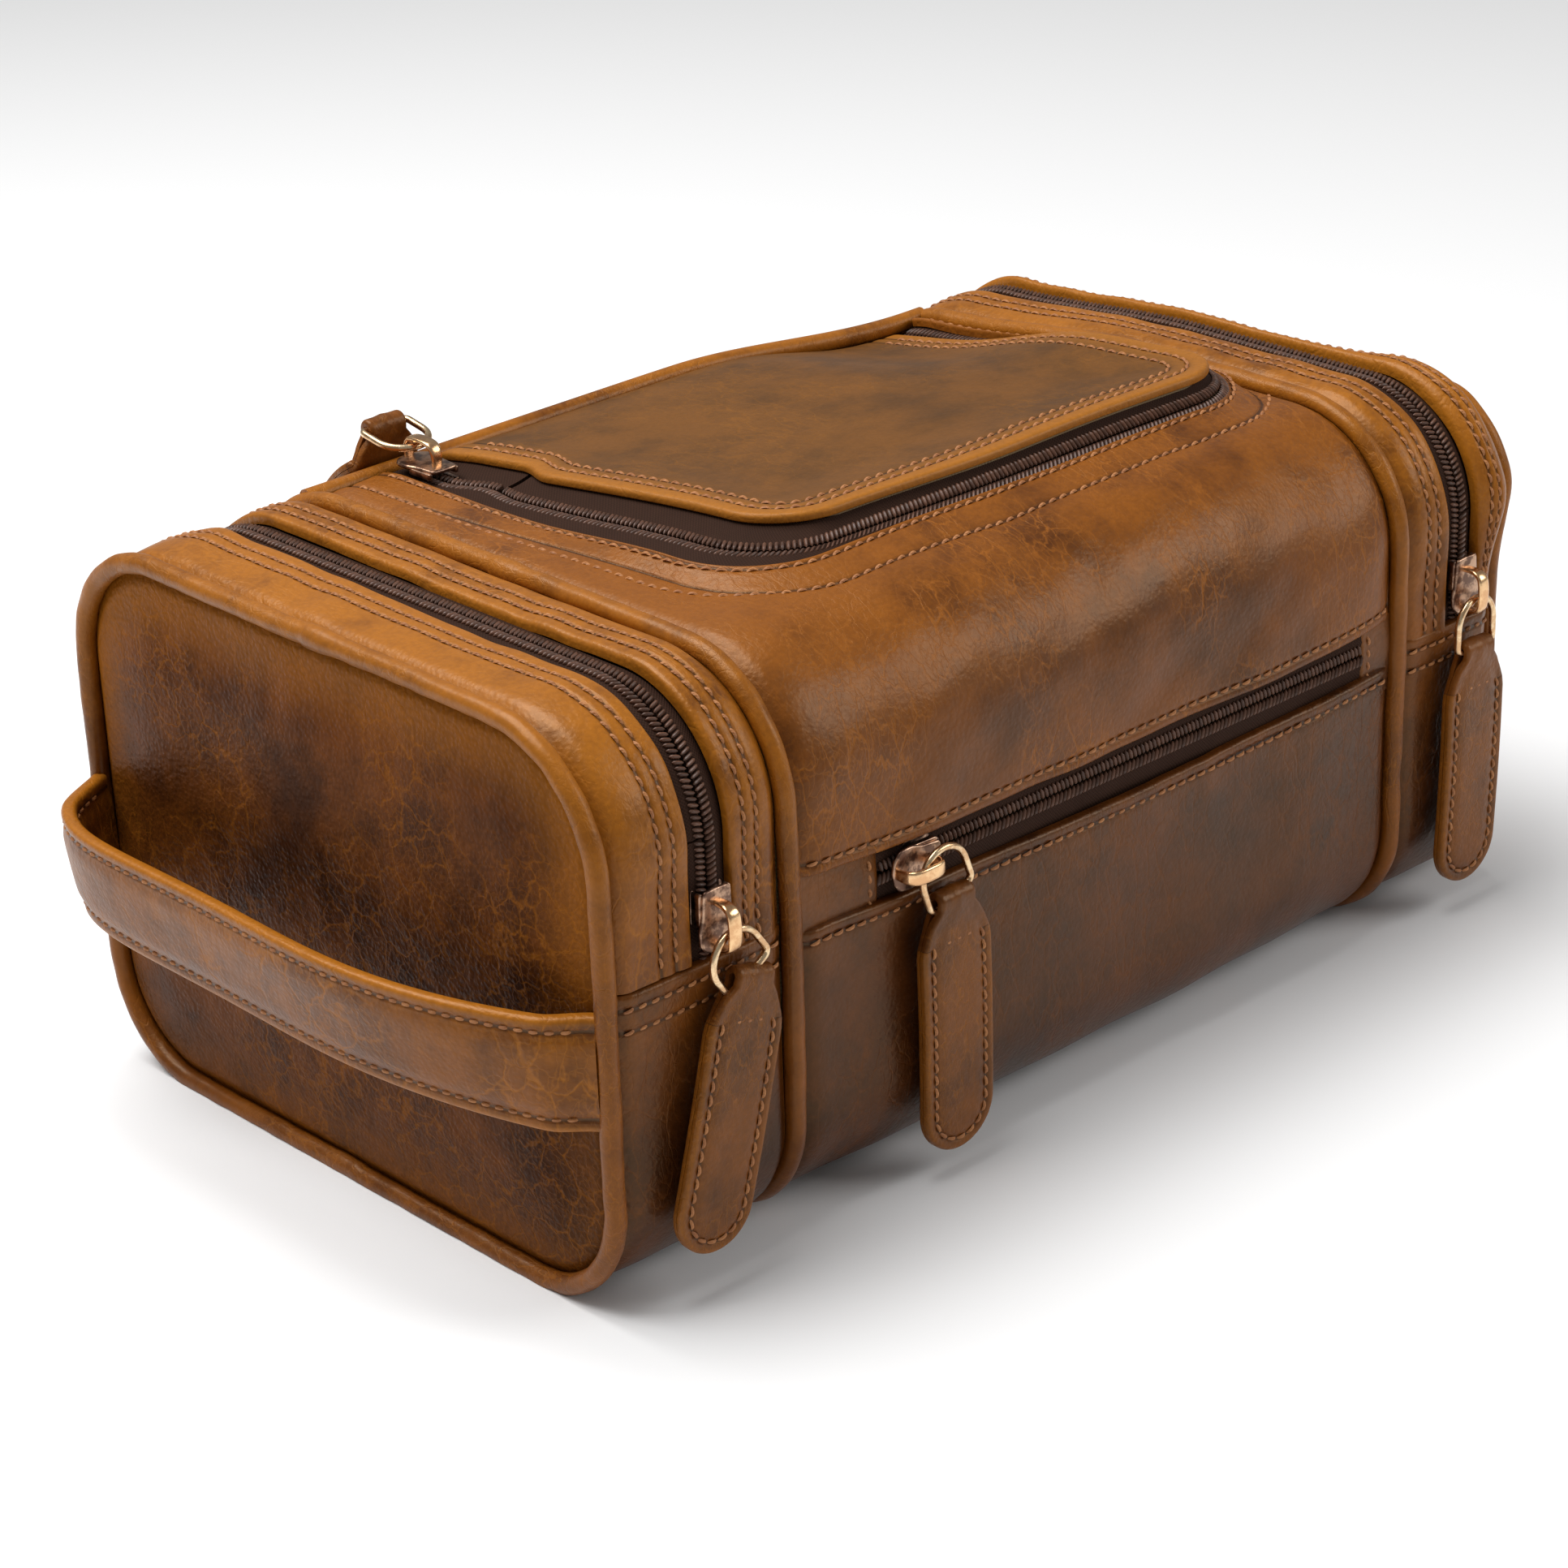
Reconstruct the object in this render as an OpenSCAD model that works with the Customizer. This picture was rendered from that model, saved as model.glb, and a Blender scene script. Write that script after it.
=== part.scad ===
// Leather shaving kit bag: a lidded centre compartment between two zipped end
// compartments, a zipped front pocket and a side carrying strap.
// +X runs along the bag to its right end, -Y is the front and +Z is up. The
// origin is at the middle of the base, on the surface that the bag stands on.

/* [Body] */
// Length over the outer pipings
bag_l = 280; // [270:1:290]
// Depth from front face to back face
bag_w = 163; // [156:1:170]
// Height of the body without the raised lid
bag_h = 120; // [116:1:126]
// Outer radius of the upper long edges
top_r = 28; // [24:1:32]
// Outer radius of the lower long edges
base_r = 25; // [22:1:28]
// Leather thickness with its stiffener
leather_t = 2.5; // [2:0.1:3]
// Lining thickness
lining_t = 0.8; // [0.5:0.1:1.2]
// Radius of the leather-covered pipings
piping_r = 2.2; // [1.8:0.1:2.6]

/* [End compartments] */
// Distance from the middle of the bag to the inner pipings
inner_x = 91; // [88:1:94]
// Distance from the middle of the bag to the end zips
end_zip_x = 111.5; // [109:0.5:114]
// Height where each flap folds open
fold_z = 69; // [66:1:72]

/* [Lid] */
// Left and right legs of the lid zip
lid_zip_x = [-66.5, 80];
// Front run of the lid zip
lid_zip_y = -46; // [-48:1:-44]
// Left and right edges of the lid
lid_x = [-56.5, 76];
// Front edge of the lid
lid_y = -42.5; // [-43:0.5:-40]
// Upward tilt of the lid towards its front
lid_tilt = 5.5; // [4:0.5:7]
// Rear edge of the lid and its zip
lid_rear_y = 61; // [60:0.5:61.5]
// Length of the lid zip's fixed end beside the hinge
lid_stub = 28; // [24:1:30]

/* [Front pocket] */
// Height of the pocket zip
pocket_z = 70; // [68:1:72]
// Left and right ends of the pocket zip
pocket_x = [-67, 79];
// Depth of the pocket behind its leather
pocket_gap = 5.4; // [4.5:0.1:7]

/* [Zips] */
// Half width of the opening between the leather edges at a zip
zip_half = 5.2; // [5:0.1:6]
// Half thickness of the coil
coil_half = 1.2; // [1:0.1:1.3]
// Outer reach of each coil row from the zip's centre line
coil_w = 2.0; // [1.8:0.1:2.1]
// Radius of the pull ring wire
wire_r = 0.8; // [0.7:0.05:0.9]
// Width of a leather puller
puller_w = 19; // [17:0.5:19]
// Length of a leather puller from its ring bar to its tip
puller_l = 56; // [50:1:57]
// Thickness of a leather puller
puller_t = 3.4; // [3:0.1:3.6]

/* [Handle] */
// Lower and upper edges of the strap
strap_z = [41.6, 66.4];
// Thickness of the strap
strap_t = 3.6; // [3:0.1:4.5]
// How far the strap bows out from the end panel
strap_bow = 15; // [12:1:18]
// Half length of the strap between its sewn ends
strap_y = 78; // [74:1:79]

/* [Hidden] */

$fn = 64;
leather = "#9c5a22";
dark_leather = "#6e3c18";
tape = "#37261e";
cloth = "#8a7a5c";
brass = "#b98a4e";
bronze = "#6b4a36";

half_w = bag_w / 2;
outer_x = bag_l / 2 - piping_r;     // piping centre at the end panels
big = 400;                          // reaches past the whole bag
fit_gap = 0.1;                      // between pieces sewn side by side
play = 0.3;                         // between pieces that move past each other
seam_drop = 1.0;                    // piping centre below the leather's outer face
piping_clear = piping_r + fit_gap;
panel_x = inner_x - piping_clear;   // end of the centre section's leather
tape_t = 0.7;
tape_mid = 0.5;                     // middle of a zip tape below the leather's outer face
coil_gap = 0.75;                    // from the centre line to each coil row
flap_z = fold_z + play;             // lower edge of the opening flaps
slide_zone = 24;                    // fixed stretch of the end zips that their sliders use

// Slider, ring and puller, in a zip's own frame: +X towards the closed chain,
// +Z out of the bag, origin on the chain's middle.
plate_z = coil_half + play;         // inner face of each slider plate
plate_t = 1.0;
ring_z = 5.3;                       // plane of the ring's wire
band_z = ring_z + wire_r + play;    // underside of the bridge band
ring_half = 6.0;                    // half width of the ring, to the wire's centre
ring_arc = 3.0;                     // from the bridge post to the ring's arc centre
ring_bar = 8.6;                     // from the bridge post to the ring's straight bar
post_x = [-5.4, 3.4];               // posts of the bridge: broad end, narrow end
fold_r = 2.5;                       // outer radius of the puller's fold round the bar
fold_half = 4.8;
face_y = -half_w + tape_mid;        // middle plane of the zips on the front face

pocket_slider_x = -59;
end_slider_z = 77.5;
lid_slider_y = 54;
lid_ring_tilt = 10;                 // the lid's ring stands up a little from the leather
pocket_ring_lean = 20;
left_ring_lean = 35;
left_puller_lean = -15;
right_ring_lean = 0;
right_puller_lean = 2;

hinge_y = 64;                       // axis of the rear piping, which the lid turns on
hinge_z = 118;
lid_pivot = [0, lid_rear_y, bag_h - 1.5];   // rear lower edge of the lid leather
tape_z = bag_h - tape_mid;          // middle plane of the lid zip
stub_y = lid_rear_y - lid_stub;
gusset_x = [inner_x + piping_clear, outer_x - piping_clear];
lining_inset = leather_t + 0.2;
lining_x = panel_x - fit_gap;
board_t = 2;
board_z = lining_inset + lining_t + fit_gap;
pocket_back_y = -half_w + leather_t + pocket_gap;   // front of the pocket's lining
strap_steps = 28;
strap_ys = [for (i = [0 : strap_steps]) strap_y * sin(90 * (2 * i / strap_steps - 1))];
strap_root = -bag_l / 2 - play;     // inner face of the strap where it is sewn on
bar_reach = ring_half - ring_arc + ring_bar;
lid_wire_y = lid_slider_y - post_x[0] - (ring_half - ring_arc);
lid_bar = [                         // Y and Z of the bar that the lid's puller folds round
    lid_wire_y + bar_reach * cos(lid_ring_tilt),
    tape_z + ring_z + bar_reach * sin(lid_ring_tilt)
];

// ---- shared shapes -----------------------------------------------------------

// Cross-section of the bag, drawn in by inset: a rounded box in the YZ plane.
module section(inset) {
    waist = bag_h / 2;
    for (side = [-1, 1]) {
        translate([side * (half_w - top_r), bag_h - top_r]) circle(r = top_r - inset);
        translate([side * (half_w - base_r), base_r]) circle(r = base_r - inset);
    }
    translate([-(half_w - top_r), waist]) square([2 * (half_w - top_r), bag_h - inset - waist]);
    translate([-(half_w - base_r), inset]) square([2 * (half_w - base_r), waist - inset]);
    translate([-(half_w - inset), base_r]) square([2 * (half_w - inset), bag_h - top_r - base_r]);
}

// Turns a YZ drawing into a solid from x0 to x1.
module along_x(x0, x1) {
    translate([x0, 0, 0]) rotate([90, 0, 90]) linear_extrude(x1 - x0) children();
}

// Wall that follows the cross-section between two insets.
module wall(x0, x1, outer, inner) {
    along_x(x0, x1) difference() {
        section(outer);
        section(inner);
    }
}

module above(z) { intersection() { children(); translate([-big / 2, -big / 2, z]) cube(big); } }
module below(z) { intersection() { children(); translate([-big / 2, -big / 2, z - big]) cube(big); } }
module in_front_of(y) { intersection() { children(); translate([-big / 2, y - big, -big / 2]) cube(big); } }
module behind(y) { intersection() { children(); translate([-big / 2, y, -big / 2]) cube(big); } }

// Quarter of a round cord that turns a corner of the cross-section.
module cord_corner(x, centre_y, centre_z, r, start) {
    translate([x, 0, 0]) rotate([90, 0, 90]) translate([centre_y, centre_z, 0])
        rotate([0, 0, start]) rotate_extrude(angle = 90) translate([r, 0]) circle(r = piping_r);
}

// Straight round cord up one side of the cross-section.
module cord_side(x, side, z0, z1) {
    translate([x, side * (half_w - seam_drop), z0]) cylinder(r = piping_r, h = z1 - z0);
}

// Straight round cord across the top or the base.
module cord_across(x, half_len, z) {
    translate([x, -half_len, z]) rotate([-90, 0, 0]) cylinder(r = piping_r, h = 2 * half_len);
}

// Piping over the top of the bag, down to height z0.
module piping_arch(x, z0) {
    for (side = [-1, 1]) {
        cord_side(x, side, z0, bag_h - top_r);
        cord_corner(x, side * (half_w - top_r), bag_h - top_r, top_r - seam_drop, side > 0 ? 0 : 90);
    }
    cord_across(x, half_w - top_r, bag_h - seam_drop);
}

// Piping under the bag, up to height z1, cut off flat just above the ground.
module piping_tray(x, z1) {
    above(2 * fit_gap) union() {
        for (side = [-1, 1]) {
            cord_side(x, side, base_r, z1);
            cord_corner(x, side * (half_w - base_r), base_r, base_r - seam_drop, side > 0 ? 270 : 180);
        }
        cord_across(x, half_w - base_r, seam_drop);
    }
}

// Mirrors its children to the right end when side is 1; they are drawn at the left.
module end_side(side) { mirror([side > 0 ? 1 : 0, 0, 0]) children(); }

// U-shaped outline open to the rear, with rounded front corners, grown by grow.
module u_outline(xs, front, rear, r, grow) {
    x0 = xs[0] - grow;
    x1 = xs[1] + grow;
    y0 = front - grow;
    rr = r + grow;
    translate([x0 + rr, y0]) square([x1 - x0 - 2 * rr, rear - y0]);
    translate([x0, y0 + rr]) square([x1 - x0, rear - y0 - rr]);
    translate([x0 + rr, y0 + rr]) circle(r = rr);
    translate([x1 - rr, y0 + rr]) circle(r = rr);
}

module lid_chain(grow) { u_outline(lid_zip_x, lid_zip_y, lid_rear_y, 18, grow); }
module lid_outline(grow) { u_outline(lid_x, lid_y, lid_rear_y, 15, grow); }

// ---- centre compartment ------------------------------------------------------

module top_front_panel() {
    lower_edge = pocket_z + zip_half;
    color(leather) difference() {
        in_front_of(lid_rear_y) above(lower_edge) wall(-panel_x, panel_x, 0, leather_t);
        translate([0, 0, bag_h - top_r]) linear_extrude(top_r + 1) lid_chain(zip_half);
    }
}

module front_pocket_panel() {
    color(leather) in_front_of(-(half_w - base_r) - fit_gap) below(pocket_z - zip_half)
        wall(-panel_x, panel_x, 0, leather_t);
}

module back_panel() {
    rear_edge = lid_rear_y + 5.5;
    color(leather) union() {
        behind(rear_edge) above(bag_h / 2) wall(-panel_x, panel_x, 0, leather_t);
        behind(half_w - base_r + fit_gap) below(bag_h / 2) wall(-panel_x, panel_x, 0, leather_t);
    }
}

module base_panel() {
    half = half_w - base_r;
    color(dark_leather) translate([-panel_x, -half, 0]) cube([2 * panel_x, 2 * half, leather_t]);
}

// Hinge line of the lid: a straight piping along the rear of the top.
module rear_piping() {
    color(leather) translate([-panel_x, hinge_y, hinge_z]) rotate([0, 90, 0])
        cylinder(r = piping_r, h = 2 * panel_x);
}

module inner_piping(side) {
    color(leather) union() {
        piping_arch(side * inner_x, bag_h / 2);
        piping_tray(side * inner_x, bag_h / 2);
    }
}

module partition(side) {
    thickness = 1.6;
    color(cloth) along_x(side * inner_x - thickness / 2, side * inner_x + thickness / 2)
        section(seam_drop + piping_clear);
}

module main_lining() {
    top_edge = 108;
    front_edge = -half_w + leather_t + pocket_gap + 1.2;
    color(cloth) behind(front_edge) below(top_edge)
        wall(-lining_x, lining_x, lining_inset, lining_inset + lining_t);
}

module base_board() {
    half = half_w - base_r - 3;
    color(dark_leather) translate([-lining_x, -half, board_z]) cube([2 * lining_x, 2 * half, board_t]);
}

module pocket_lining() {
    z0 = 11;
    z1 = 98;
    color(cloth) translate([-lining_x, pocket_back_y, z0]) cube([2 * lining_x, lining_t, z1 - z0]);
}

// ---- zips --------------------------------------------------------------------

// One half of a straight zip along X: tape and coil row, above the centre line for side 1.
module straight_zip_half(x0, x1, side) {
    reach = zip_half - fit_gap;
    z_tape = side > 0 ? pocket_z + coil_gap : pocket_z - reach;
    z_coil = side > 0 ? pocket_z + coil_gap : pocket_z - coil_w;
    translate([x0, face_y - tape_t / 2, z_tape]) cube([x1 - x0, tape_t, reach - coil_gap]);
    translate([x0, face_y - coil_half, z_coil]) cube([x1 - x0, 2 * coil_half, coil_w - coil_gap]);
}

module pocket_zip_upper_half() { color(tape) straight_zip_half(pocket_x[0], pocket_x[1], 1); }
module pocket_zip_lower_half() { color(tape) straight_zip_half(pocket_x[0], pocket_x[1], -1); }

// Leather pieces that close the slot at both ends of the pocket zip.
module pocket_zip_tabs() {
    reach = zip_half - fit_gap;
    ends = [[-panel_x, pocket_x[0] - fit_gap], [pocket_x[1] + fit_gap, panel_x]];
    color(leather) for (span = ends)
        translate([span[0], -half_w + 0.3, pocket_z - reach]) cube([span[1] - span[0], 1.8, 2 * reach]);
}

// Half of an end zip over the arch, between two distances from the middle of the bag.
module arch_zip_half(tape_x, coil_x) {
    wall(-tape_x[1], -tape_x[0], tape_mid - tape_t / 2, tape_mid + tape_t / 2);
    wall(-coil_x[1], -coil_x[0], tape_mid - coil_half, tape_mid + coil_half);
}

module outer_zip_arch() {
    arch_zip_half([end_zip_x + coil_gap, end_zip_x + zip_half - fit_gap],
        [end_zip_x + coil_gap, end_zip_x + coil_w]);
}

module zip_fixed_half(side) {
    stub_top = flap_z + slide_zone;
    color(tape) end_side(side) {
        above(flap_z) arch_zip_half([end_zip_x - zip_half + fit_gap, end_zip_x - coil_gap],
            [end_zip_x - coil_w, end_zip_x - coil_gap]);
        below(stub_top) in_front_of(0) above(flap_z) outer_zip_arch();
    }
}

module flap_zip_half(side) {
    color(tape) end_side(side) difference() {
        above(flap_z) outer_zip_arch();
        translate([-big / 2, -big, 0]) cube([big, big, flap_z + slide_zone + play]);
    }
}

// ---- end compartments --------------------------------------------------------

module inner_gusset(side) {
    color(leather) end_side(side) above(fold_z + fit_gap)
        wall(-(end_zip_x - zip_half), -gusset_x[0], 0, leather_t);
}

module flap_gusset(side) {
    color(leather) end_side(side) above(flap_z)
        wall(-gusset_x[1], -(end_zip_x + zip_half), 0, leather_t);
}

module lower_gusset(side) {
    color(dark_leather) end_side(side) below(fold_z) wall(-gusset_x[1], -gusset_x[0], 0, leather_t);
}

// The end panel lies within the outer piping, flush with its outer side.
module end_plate() {
    along_x(-bag_l / 2, -bag_l / 2 + leather_t) section(seam_drop + piping_clear);
}

module end_panel_lower(side) { color(dark_leather) end_side(side) below(fold_z) end_plate(); }
module flap_panel(side) { color(leather) end_side(side) above(flap_z) end_plate(); }
module outer_piping_lower(side) { color(leather) end_side(side) piping_tray(-outer_x, fold_z); }
module flap_piping(side) { color(leather) end_side(side) piping_arch(-outer_x, flap_z); }

module end_lining(side) {
    x0 = -(outer_x - piping_clear - fit_gap);
    x1 = -gusset_x[0];
    color(cloth) end_side(side) below(fold_z - 3) wall(x0, x1, lining_inset, lining_inset + lining_t);
}

// ---- lid ---------------------------------------------------------------------

module tilted() {
    translate(lid_pivot) rotate([-lid_tilt, 0, 0]) translate([0, -lid_rear_y, 0]) children();
}

module lid_panel() {
    color(leather) tilted() linear_extrude(leather_t) lid_outline(0);
}

module lid_lining() {
    color(cloth) tilted() translate([0, 0, -lining_t - fit_gap]) linear_extrude(lining_t)
        lid_outline(-1.6);
}

// Left rear corner of the lid zip, which stays with the body beside the slider.
module stub_area(clear) {
    translate([lid_zip_x[0] - 20, stub_y - clear]) square([lid_x[0] - lid_zip_x[0] + 20, 100]);
}

module flat_band(z_mid, thickness) {
    translate([0, 0, z_mid - thickness / 2]) linear_extrude(thickness) children();
}

module lid_zip_body_half() {
    color(tape) union() {
        flat_band(tape_z, tape_t) difference() {
            lid_chain(zip_half - fit_gap);
            lid_chain(coil_gap);
        }
        flat_band(tape_z, 2 * coil_half) difference() {
            lid_chain(coil_w);
            lid_chain(coil_gap);
        }
        flat_band(tape_z, tape_t) intersection() {
            difference() {
                lid_chain(-coil_gap);
                lid_outline(play);
            }
            stub_area(0);
        }
        flat_band(tape_z, 2 * coil_half) intersection() {
            difference() {
                lid_chain(-coil_gap);
                lid_chain(-coil_w);
            }
            stub_area(0);
        }
    }
}

// The lid's tape lies flat beside the chain and stands up under the lid's edge.
module lid_zip_half() {
    wall_in = 1.3;
    wall_top = 12;
    color(tape) union() {
        difference() {
            flat_band(tape_z, tape_t) difference() {
                lid_chain(-coil_gap);
                lid_outline(-wall_in);
                stub_area(play);
            }
            tilted() translate([0, 0, -fit_gap]) linear_extrude(2 * leather_t) lid_outline(fit_gap);
        }
        flat_band(tape_z, 2 * coil_half) difference() {
            lid_chain(-coil_gap);
            lid_chain(-coil_w);
            stub_area(play);
        }
        difference() {
            translate([0, 0, tape_z - tape_t / 2]) linear_extrude(wall_top) difference() {
                lid_outline(-0.3);
                lid_outline(-wall_in);
            }
            tilted() translate([-big / 2, -big / 2, -fit_gap]) cube(big);
        }
    }
}

// ---- handle ------------------------------------------------------------------

// The strap leaves its sewn ends steeply and runs nearly straight between them:
// distance from the end panel = bow * (1 - |y / half length|^4).
function strap_out(y) = strap_bow * (1 - pow(abs(y) / strap_y, 4));

module handle_strap() {
    inner = [for (y = strap_ys) [strap_root - strap_out(y), y]];
    outer = [for (i = [strap_steps : -1 : 0])
        [strap_root - strap_t - strap_out(strap_ys[i]), strap_ys[i] * (strap_y + 1.5) / strap_y]];
    color(leather) translate([0, 0, strap_z[0]]) linear_extrude(strap_z[1] - strap_z[0])
        polygon(concat(inner, outer));
}

// ---- slider, ring and puller ---------------------------------------------------

module slider() {
    outline = [[6.4, -3.6], [6.4, 3.6], [1.5, 3.6], [-1.5, 4.6], [-4.6, 4.4], [-6.2, 2.8],
        [-6.8, 0], [-6.2, -2.8], [-4.6, -4.4], [-1.5, -4.6], [1.5, -3.6]];
    guide_in = coil_w + play;
    guide_z = tape_t / 2 + play;
    color(bronze) union() {
        for (side = [-1, 1]) {
            translate([0, 0, side > 0 ? plate_z : -plate_z - plate_t]) linear_extrude(plate_t)
                polygon(outline);
            for (row = [-1, 1])
                translate([-1, row * (guide_in + 0.6) - 0.6, side > 0 ? guide_z : -plate_z])
                    cube([7.2, 1.2, plate_z - guide_z]);
        }
        translate([-4.5, -0.45, -plate_z]) cube([3.2, 0.9, 2 * plate_z]);
    }
    color(brass) union() {
        for (x = post_x)
            translate([x - 0.5, -1.2, plate_z + plate_t]) cube([1, 2.4, band_z - plate_z - plate_t]);
        translate([post_x[0] - 0.5, -1.4, band_z]) cube([post_x[1] - post_x[0] + 1, 2.8, 1]);
    }
}

// D-shaped wire ring that hangs in direction -Y of its own frame; the bridge post is at its origin.
module pull_ring() {
    bend = 1.4;
    color(brass) translate([0, 0, ring_z]) union() {
        translate([0, -ring_arc, 0]) rotate_extrude(angle = 180) translate([ring_half, 0]) circle(r = wire_r);
        for (side = [-1, 1]) {
            translate([side * ring_half, -ring_bar + bend, 0]) rotate([-90, 0, 0])
                cylinder(r = wire_r, h = ring_bar - bend - ring_arc);
            translate([side * (ring_half - bend), -ring_bar + bend, 0]) rotate([0, 0, side > 0 ? 270 : 180])
                rotate_extrude(angle = 90) translate([bend, 0]) circle(r = wire_r);
        }
        translate([-ring_half + bend, -ring_bar, 0]) rotate([0, 90, 0])
            cylinder(r = wire_r, h = 2 * (ring_half - bend));
    }
}

// Outline of a hanging puller below its bar: narrow neck, shoulders, round tip, leaning by lean degrees.
function turned(p, a) = [p[0] * cos(a) - p[1] * sin(a), p[0] * sin(a) + p[1] * cos(a)];
function puller_outline(lean) =
    let (half = puller_w / 2, tip = -puller_l + half)
    concat(
        [[-fold_half, 0], [-fold_half, -2.2], turned([-half + 2.5, -6], lean), turned([-half, -12], lean)],
        [for (a = [180 : 15 : 360]) turned([half * cos(a), tip + half * sin(a)], lean)],
        [turned([half, -12], lean), turned([half - 2.5, -6], lean), [fold_half, -2.2], [fold_half, 0]]
    );

module bar_bore() {
    rotate([0, 90, 0]) cylinder(r = wire_r + 0.05, h = 3 * fold_half, center = true);
}

// Flat puller in the ring's frame, folded round the ring's bar.
module puller(lean) {
    color(leather) translate([0, -ring_bar, ring_z]) difference() {
        union() {
            rotate([0, 90, 0]) cylinder(r = fold_r, h = 2 * fold_half, center = true);
            translate([0, 0, -puller_t / 2]) linear_extrude(puller_t) polygon(puller_outline(lean));
        }
        bar_bore();
    }
}

// Places children drawn in a zip's frame: the rows give where its X, Y and Z axes point.
module on_pocket_zip() {
    translate([pocket_slider_x, face_y, pocket_z]) rotate([90, 0, 0]) children();
}
module on_end_zip(side) {
    translate([side * end_zip_x, face_y, end_slider_z]) rotate([90, 0, 0]) rotate([0, 0, 90]) children();
}
module on_lid_zip() {
    translate([lid_zip_x[0], lid_slider_y, tape_z]) rotate([0, 0, -90]) children();
}

module pocket_ring_frame() {
    on_pocket_zip() translate([post_x[1], 0, 0]) rotate([0, 0, pocket_ring_lean]) children();
}
module end_ring_frame(side, lean) {
    on_end_zip(side) translate([post_x[0], 0, 0]) rotate([0, 0, -90 + lean]) children();
}
// The lid's ring lies towards the rear and is lifted about the wire under the bridge.
module lid_ring_frame() {
    wire_back = ring_half - ring_arc;
    on_lid_zip() translate([post_x[0] + wire_back, 0, ring_z]) rotate([0, lid_ring_tilt, 0])
        translate([-wire_back, 0, -ring_z]) rotate([0, 0, -90]) children();
}

module pocket_slider() { on_pocket_zip() slider(); }
module pocket_pull_ring() { pocket_ring_frame() pull_ring(); }
module pocket_puller() { pocket_ring_frame() puller(-pocket_ring_lean); }

module end_slider(side) { on_end_zip(side) slider(); }
module left_pull_ring() { end_ring_frame(-1, left_ring_lean) pull_ring(); }
module left_puller() { end_ring_frame(-1, left_ring_lean) puller(left_puller_lean - left_ring_lean); }
module right_pull_ring() { end_ring_frame(1, right_ring_lean) pull_ring(); }
module right_puller() { end_ring_frame(1, right_ring_lean) puller(-right_puller_lean); }

module lid_slider() { on_lid_zip() slider(); }
module lid_pull_ring() { lid_ring_frame() pull_ring(); }

// The lid's puller leaves its ring at the rear and hangs down round the bag's back corner.
module lid_puller() {
    corner = [half_w - top_r, bag_h - top_r];
    bend_r = top_r + 1.6 + puller_t / 2;
    start_a = 62;
    drop_r = bend_r + puller_t / 2;
    tip_z = 76;
    neck_end = [corner[0] + bend_r * cos(start_a), corner[1] + bend_r * sin(start_a)];
    neck_a = atan2(neck_end[1] - lid_bar[1], neck_end[0] - lid_bar[0]);
    neck_l = norm(neck_end - lid_bar) + 1;
    color(leather) difference() {
        union() {
            translate([lid_zip_x[0], lid_bar[0], lid_bar[1]]) rotate([0, 90, 0])
                cylinder(r = fold_r, h = 2 * fold_half, center = true);
            along_x(lid_zip_x[0] - fold_half, lid_zip_x[0] + fold_half)
                translate(lid_bar) rotate([0, 0, neck_a]) translate([0, -puller_t / 2])
                    square([neck_l, puller_t]);
            along_x(lid_zip_x[0] - puller_w / 2, lid_zip_x[0] + puller_w / 2) intersection() {
                difference() {
                    translate(corner) circle(r = drop_r);
                    translate(corner) circle(r = drop_r - puller_t);
                }
                translate(corner) polygon([[0, 0], [60, 0], [60, 60], [60 * cos(start_a), 60 * sin(start_a)]]);
            }
            translate([lid_zip_x[0], corner[0] + drop_r - puller_t, corner[1]]) rotate([-90, 0, 0])
                linear_extrude(puller_t) union() {
                    translate([-puller_w / 2, 0]) square([puller_w, corner[1] - tip_z]);
                    translate([0, corner[1] - tip_z]) intersection() {
                        circle(r = puller_w / 2);
                        translate([-puller_w, 0]) square(2 * puller_w);
                    }
                }
        }
        translate([lid_zip_x[0], lid_bar[0], lid_bar[1]]) bar_bore();
    }
}

// ---- assembly ----------------------------------------------------------------

top_front_panel();
front_pocket_panel();
back_panel();
base_panel();
rear_piping();
inner_piping(-1);  // left_inner_piping
inner_piping(1);  // right_inner_piping
partition(-1);  // left_partition
partition(1);  // right_partition
main_lining();
base_board();
lid_zip_body_half();
pocket_zip_upper_half();
pocket_zip_lower_half();
pocket_zip_tabs();
pocket_lining();
inner_gusset(-1);  // left_inner_gusset
lower_gusset(-1);  // left_lower_gusset
end_panel_lower(-1);  // left_end_panel_lower
outer_piping_lower(-1);  // left_outer_piping_lower
zip_fixed_half(-1);  // left_zip_fixed_half
end_lining(-1);  // left_lining
flap_panel(-1);  // left_flap_panel
flap_gusset(-1);  // left_flap_gusset
flap_piping(-1);  // left_flap_piping
flap_zip_half(-1);  // left_flap_zip_half
inner_gusset(1);  // right_inner_gusset
lower_gusset(1);  // right_lower_gusset
end_panel_lower(1);  // right_end_panel_lower
outer_piping_lower(1);  // right_outer_piping_lower
zip_fixed_half(1);  // right_zip_fixed_half
end_lining(1);  // right_lining
flap_panel(1);  // right_flap_panel
flap_gusset(1);  // right_flap_gusset
flap_piping(1);  // right_flap_piping
flap_zip_half(1);  // right_flap_zip_half
lid_panel();
lid_lining();
lid_zip_half();
handle_strap();
lid_slider();
lid_pull_ring();
lid_puller();
pocket_slider();
pocket_pull_ring();
pocket_puller();
end_slider(-1);  // left_slider
left_pull_ring();
left_puller();
end_slider(1);  // right_slider
right_pull_ring();
right_puller();
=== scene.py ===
"""Leather shaving kit bag: a lidded centre between two zipped ends, in waxed leather.

Surfaces are worked out in millimetres on grids and go into the meshes in metres.
+X is the right end, -Y the front and +Z up.
"""

from __future__ import annotations

import logging
import math
from dataclasses import dataclass, field
from enum import Enum

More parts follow.
